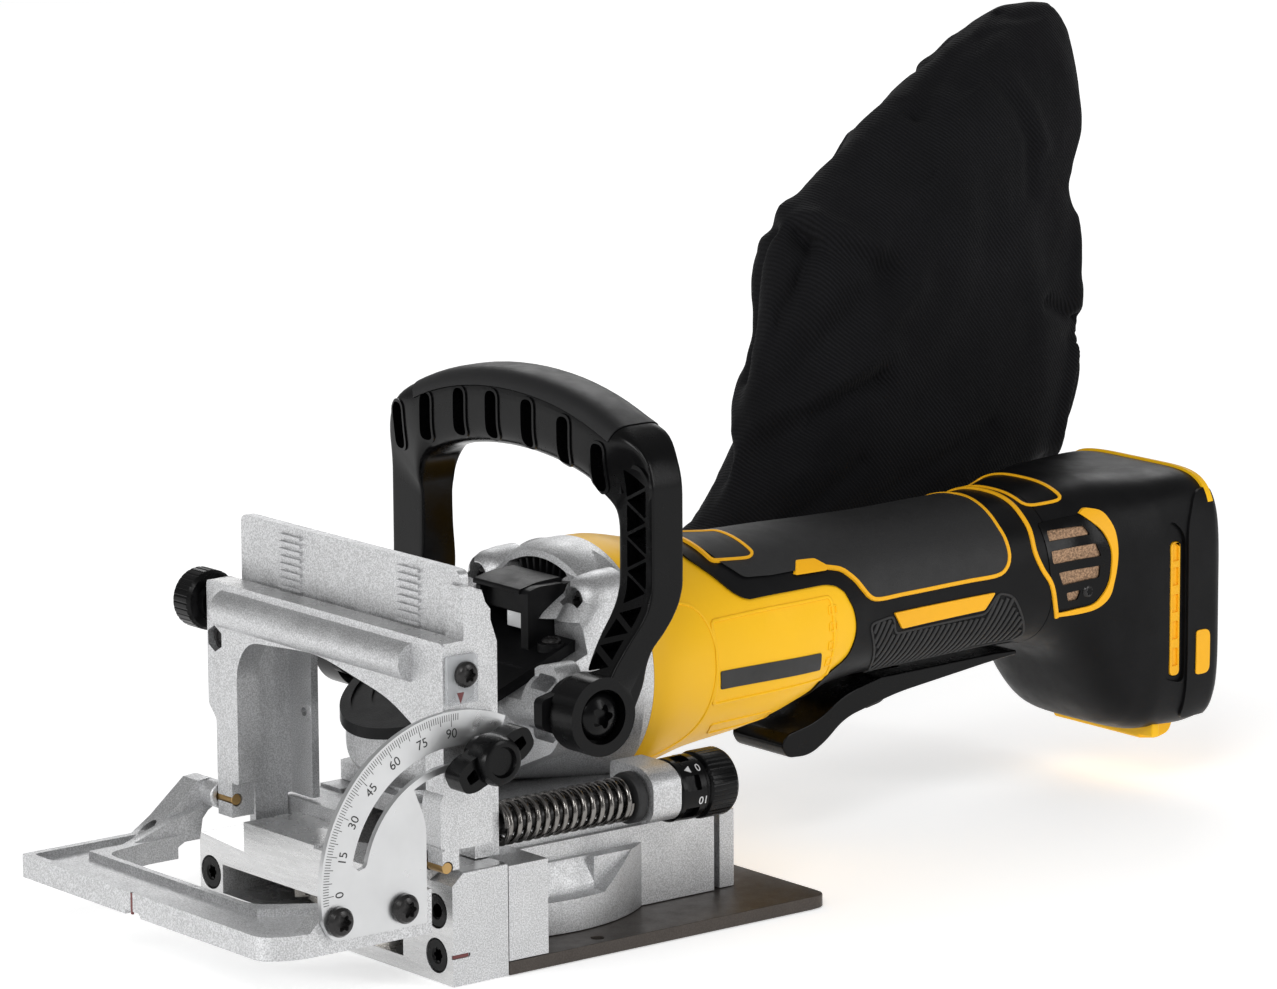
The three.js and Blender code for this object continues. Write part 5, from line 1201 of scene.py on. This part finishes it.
def make_foot():
    """The battery foot with its vents, yellow strips, bay liner and terminals."""
    body = skinned(SHELL_ROWS, 0, 1.5, 252.4, 327, 112)
    tools = [box(-31, 31, 302, 329, 15, 104), bar("y", 0, 87, 250, 310, 18, 40)]
    for s in (1, -1):
        groove = [(298.8, 44, 4), (309.5, 41, 4), (309.5, 97, 4), (303, 103, 5), (298.8, 97, 4)]
        tools.append(cut(prism("x", groove, *reach_to(s, 30, 45)),
                         skinned(SHELL_ROWS, -1.3, 1.5, 290, 320, 72)))
        tools.append(prism("x", oblong(303, 308, 44, 94.5, 2.3), *reach_to(s, 36.8, 46)))
        tools.append(cut(prism("x", VENT, *reach_to(s, 20, 45)),
                         skinned(SHELL_ROWS, -1.0, 1.5, 244, 282, 72)))
    remake(cut(body, *tools), "battery_foot", "black", bevel=0.7, angle=38, segments=3)
    for s, side in SIDES:
        panel = patch(SHELL_ROWS, VENT, -0.9, 0.35, 246, 282, s, 1.5)
        panel = cut(panel, *[prism("x", [(*p, 0.7) for p in w], *reach_to(s, 10, 60)) for w in WINDOWS])
        remake(panel, "vent_cover_" + side, "gloss", bevel=0.2)
        on_carriage(patch(SHELL_ROWS, VENT, -0.8, -0.35, 246, 282, s, 1.5), "vent_mesh_" + side, "mesh",
                    bevel=0)
        on_carriage(patch(SHELL_ROWS, FRAME, -0.3, 0.8, 246, 284, s, 1.5), "vent_frame_" + side,
                    "yellow_ink", bevel=0.25)
        place, _ = lift(SHELL_ROWS, beside(SHELL_ROWS, *VENT_SCREW, s))
        screw(*VENT_SCREW, s, place.x - 0.8 * s, 2.5, 1.5, "vent_screw_" + side, "carriage_body")
        liner = prism("x", oblong(303.2, 307.8, 44.4, 94.1, 2), *reach_to(s, 37.2, 38.9))
        pits = [box(*reach_to(s, 38.1, 40), 304.3, 307, z, z + 6.6) for z in (48, 58, 68, 78, 87)]
        on_carriage(cut(liner, *pits), "slot_liner_" + side, "yellow_ink", bevel=0.2)
        lozenge = [(314.2, 43.7, 1.5), (321, 43.7, 3), (321, 60.3, 3), (314.2, 60.3, 1.5)]
        band = [(310.2, 27, 3), (326.4, 27, 3), (326.4, 112, 5), (316, 112, 5), (310.2, 100, 6)]
        on_carriage(patch(SHELL_ROWS, band, -0.5, 0.9, 306, 326.6, s, 1.5), "foot_band_" + side, "black",
                    bevel=0.7, segments=3)
        on_carriage(patch(SHELL_ROWS, lozenge, 0.2, 1.35, 308, 325, s, 1.5), "lozenge_" + side,
                    "yellow_ink", bevel=0.2)
    polish("battery_rail_liner", "yellow", bevel=0.5)
    trim = within(skinned(SHELL_ROWS, 1.0, 1.5, 300, 327, 112), box(-45, 45, 321.2, 324.0, 107, 125))
    remake(cut(trim, skinned(SHELL_ROWS, -0.4, 1.5, 300, 327, 112)), "foot_trim", "yellow", bevel=0.3)
    polish("terminal_block", "black", bevel=0.3)


def make_trigger():
    lever = prism("x", [(139.6, 39, 3), (142.4, 34, 4), (152.5, 33.4, 6), (160, 37.2, 9), (169, 44.4, 9),
                        (193, 50, 8), (238, 55, 6), (250.5, 56, 1), (250.5, 57.6, 1), (240, 57.9),
                        (186, 57), (168, 53, 8), (157, 45.6, 8), (142, 42.4, 3)], -14, 14, 10)
    remake(cut(lever, box(-5.4, 5.4, 182, 201, 30, 70)), "paddle_switch", "gloss", bevel=1.3, segments=3)
    polish("lock_off_lever", "black", bevel=0.6)


# ---------------------------------------------------------------- drive
def make_drive():
    polish("carriage_plate", "cast", bevel=0.6)
    polish("blade", "steel", bevel=0.12)
    for look, nodes in (("dark_steel", "blade_flange blade_nut"),
                        ("steel", "spindle bevel_gear bevel_pinion"),
                        ("copper", "rotor"), ("black", "cooling_fan"), ("dark_steel", "stator"),
                        ("steel", "front_bearing rear_bearing spindle_bearing")):
        for node in nodes.split():
            polish(node, look, bevel=0.15)


# ---------------------------------------------------------------- dust bag
BAG_X = -74  # the bag's middle plane
COLLAR = (106, 46.8)  # the collar's middle (y, z)
BAG_FOOT, BAG_TOP = 62, 279
BAG_ROWS = [(62, 126, 13, 13), (73, 149, 35, 19), (87, 205, 68, 23), (102, 254.5, 84, 25),
            (131, 271, 84.5, 27), (170, 278, 80, 28), (199, 280, 78, 27), (211, 282, 75, 26),
            (230, 294, 62, 24), (249, 305.5, 48.5, 20), (265, 316, 33, 15), (273, 321, 24, 11),
            (279, 330, 10, 5)]
BAG_WAVE = [(62, 0), (108, -1), (121, 0), (136, 3.5), (146, 2), (153.5, -4), (160, 1.5), (169, 3.5),
            (183, 2), (196, -0.5), (219, -1.5), (241, 1), (260, 0), (279, 0)]
FOLDS = [([(214.5, 212), (215, 198), (211, 184.5), (205, 169.5), (200, 156), (196, 146.5)], -4.2, 2.0),
         ([(220.5, 209.5), (222, 196), (217, 180), (211, 164), (205, 148)], 2.0, 5.4),
         ([(208, 196), (204, 181), (199, 156)], 0.9, 5),
         ([(216, 205), (216, 201)], -5.5, 3.4),
         ([(203, 210), (209, 212.5), (217, 211), (226, 206), (238, 200)], 2.6, 3.6),
         ([(221.5, 198.5), (230.5, 194.5), (245, 185.5)], -3.0, 4.6),
         ([(318, 277), (308, 272.5), (293, 265), (286, 259), (277, 252.5), (268, 243)], -3.8, 2.5),
         ([(312, 283), (299, 276), (281, 263), (271, 252)], 2.4, 4),
         ([(297.5, 256), (306, 245), (311, 232), (310, 213)], -1.8, 3.4),
         ([(304, 254), (313, 244), (318, 230)], 1.5, 4),
         ([(242, 190), (229, 179), (216, 166), (207, 148)], -3.2, 5.6),
         ([(251, 184), (238, 170), (226, 154)], 2.4, 6.4),
         ([(236, 150), (226, 147), (211, 137.5), (199, 129.7), (185, 119), (170, 102)], -3.8, 4.6),
         ([(241, 161), (224, 152), (204, 142), (188, 132)], 2.3, 4.6),
         ([(206, 119), (188, 106), (166, 90), (148, 76)], 2.4, 4.6),
         ([(230, 120), (204, 104), (176, 86), (154, 74)], -2.4, 4.2),
         ([(289, 126), (244, 108), (194, 86), (158, 72)], -1.9, 4.6),
         ([(341, 156), (335, 142), (331, 129.5), (330, 116), (334, 103)], 3.0, 3.0),
         ([(346, 152), (341, 140), (337, 128), (336, 116)], -2.8, 2.8),
         ([(360, 152), (352, 154), (340, 161), (320, 170)], -4.2, 3.0),
         ([(340, 199), (336.6, 179), (338, 164)], 2.1, 3.8),
         ([(345, 218), (342, 198), (344, 180)], -1.7, 3.8),
         ([(266, 234), (276, 212), (280, 184)], 1.5, 8),
         ([(256, 138), (276, 162), (286, 194)], -1.5, 8),
         ([(304, 198), (316, 170), (318, 138)], 1.6, 7)]
NECK = [(0, 108.8, 27.4, 91.0, 59.4, 18.4), (1, 121.0, 34.2, 103.2, 66.2, 18.4),
        (2, 131, 42.6, 113, 72, 17.6), (3, 143, 53, 122, 78, 16.8), (4, 157, 63, 132, 84, 16),
        (5, 172, 71, 150, 90, 13), (6, 182, 77, 162, 92, 7)]


def bag_neck():
    """The sleeve that narrows from the bag's lower front corner down over the collar."""
    rings = []
    for k in range(61):
        y0, z0, y1, z1, half = spline(NECK, k / 10)
        ring = []
        for i in range(48):
            a = i / 48 * math.tau
            c, d = math.cos(a) / 2, math.sin(a)
            ring.append((BAG_X + half * d, (y0 + y1) / 2 + (y1 - y0) * c, (z0 + z1) / 2 + (z1 - z0) * c))
        rings.append(ring)
    return loft(rings)


def collar_bore():
    """The hole the collar sits in, along the collar's own slope."""
    y, z = COLLAR
    return spun(bar("y", BAG_X, z, y - 10, y + 9.5, 16.9, 64), (0, y, z), rad(29), "X")


def distance(y, z, line):
    """Distance from a point to a chain of points, all in the bag's side plane."""
    best = 1e9
    for (y0, z0), (y1, z1) in zip(line, line[1:]):
        u, v = y1 - y0, z1 - z0
        t = min(max(((y - y0) * u + (z - z0) * v) / (u * u + v * v), 0), 1)
        best = min(best, (y - y0 - t * u) ** 2 + (z - z0 - t * v) ** 2)
    return math.sqrt(best)


def creased(y, z, side):
    """How far the cloth stands off its smooth shape; the far panel's folds lie a little elsewhere."""
    if side < 0:
        y, z = y + 9 * math.sin(z / 31), z + 6 * math.cos(y / 27) - 4
    rise = 0.0
    for line, height, width in FOLDS:
        d = distance(y, z, line)
        if d < width * 3:
            rise += height * math.exp(-(d / width) ** 2)
    rise += 1.5 * noise.noise(Vector((y / 44, z / 60, side)))
    rise += 0.45 * noise.noise(Vector((y / 10, z / 26, side + 5)))
    return rise + 0.15 * noise.noise(Vector((y / 4, z / 5, side + 9)))


def inflate(bag):
    """Let the bag's cloth settle under a little air, held where the collar grips its neck."""
    rest = [v.co.copy() for v in bag.data.vertices]
    held = bag.vertex_groups.new(name="held")
    held.add([i for i, p in enumerate(rest) if p.z < 76 * MM], 1.0, "REPLACE")
    cloth = bag.modifiers.new("cloth", "CLOTH")
    for key, value in {"quality": 6, "mass": 0.2, "tension_stiffness": 12, "compression_stiffness": 12,
                       "bending_stiffness": 0.4, "use_pressure": True, "uniform_pressure_force": 4,
                       "vertex_group_mass": held.name, "shrink_min": -0.05}.items():
        setattr(cloth.settings, key, value)
    cloth.settings.effector_weights.gravity = 0
    cloth.point_cache.frame_start, cloth.point_cache.frame_end = 1, 20
    for tick in range(1, 21):
        bpy.context.scene.frame_set(tick)
    shape = bag.evaluated_get(bpy.context.evaluated_depsgraph_get()).to_mesh()
    moved = [v.co.copy() for v in shape.vertices]
    bag.modifiers.clear()
    bag.vertex_groups.clear()
    for vert, a, b in zip(bag.data.vertices, rest, moved):
        step = b - a
        vert.co = a + step * min(1, 7 * MM / max(step.length, 1e-9))
    bpy.context.scene.frame_set(1)


def make_bag():
    """The filled bag: a loft joined to its neck, settled as cloth, then creased, pleated and bored."""
    around, up = 120, 120
    rings = []
    for j in range(up + 1):
        z = BAG_FOOT + (BAG_TOP - BAG_FOOT) * j / up
        y, half, thick = spline(BAG_ROWS, z)
        wave = spline(BAG_WAVE, z)[0]
        ring = []
        for i in range(around):
            a = i / around * math.tau
            edge = max(math.cos(a), 0) ** 2 * wave
            side = abs(math.sin(a)) ** 0.9 * math.copysign(1, math.sin(a))
            ring.append((BAG_X + thick * 0.86 * side, y + half * math.cos(a) + edge,
                         z + max(z - 235, 0) * 0.06))
        rings.append(ring)
    bag = union(loft(rings), bag_neck())
    coarse = bag.modifiers.new("coarse", "REMESH")
    coarse.mode, coarse.voxel_size = "VOXEL", 5 * MM
    bake(bag)
    inflate(bag)
    fine = bag.modifiers.new("fine", "SUBSURF")
    fine.levels = fine.render_levels = 2
    bake(bag)
    normals = [v.normal.copy() for v in bag.data.vertices]
    for vert, n in zip(bag.data.vertices, normals):
        p = vert.co / MM
        if p.z > 70:
            facing = min(abs(n.x) * 1.5, 1) ** 1.5 * min((p.z - 70) / 12, 1)
            vert.co += n * creased(p.y, p.z, 1 if n.x > 0 else -1) * facing * MM
        pleat = min(max((84 - p.z) / 20, 0), 1) * min(max((165 - p.y) / 20, 0), 1)
        if pleat:
            turn = math.atan2(p.x - BAG_X, (p.z - COLLAR[1]) * 0.87 - (p.y - COLLAR[0]) * 0.48)
            vert.co += n * pleat * 0.45 * math.sin(15 * turn) * MM
    bag = cut(bag, collar_bore())
    finish(bag, "dust_bag_cloth", "fabric", "base", ("dust_bag",), bevel=0, sharp=180, flat=False)


# ---------------------------------------------------------------- build
for step in (make_camera, make_bag, make_studio, make_base, make_turret, make_slide, make_fence,
             make_gearcase, make_handle, make_motor_case, make_grip, make_foot, make_trigger, make_drive):
    step()
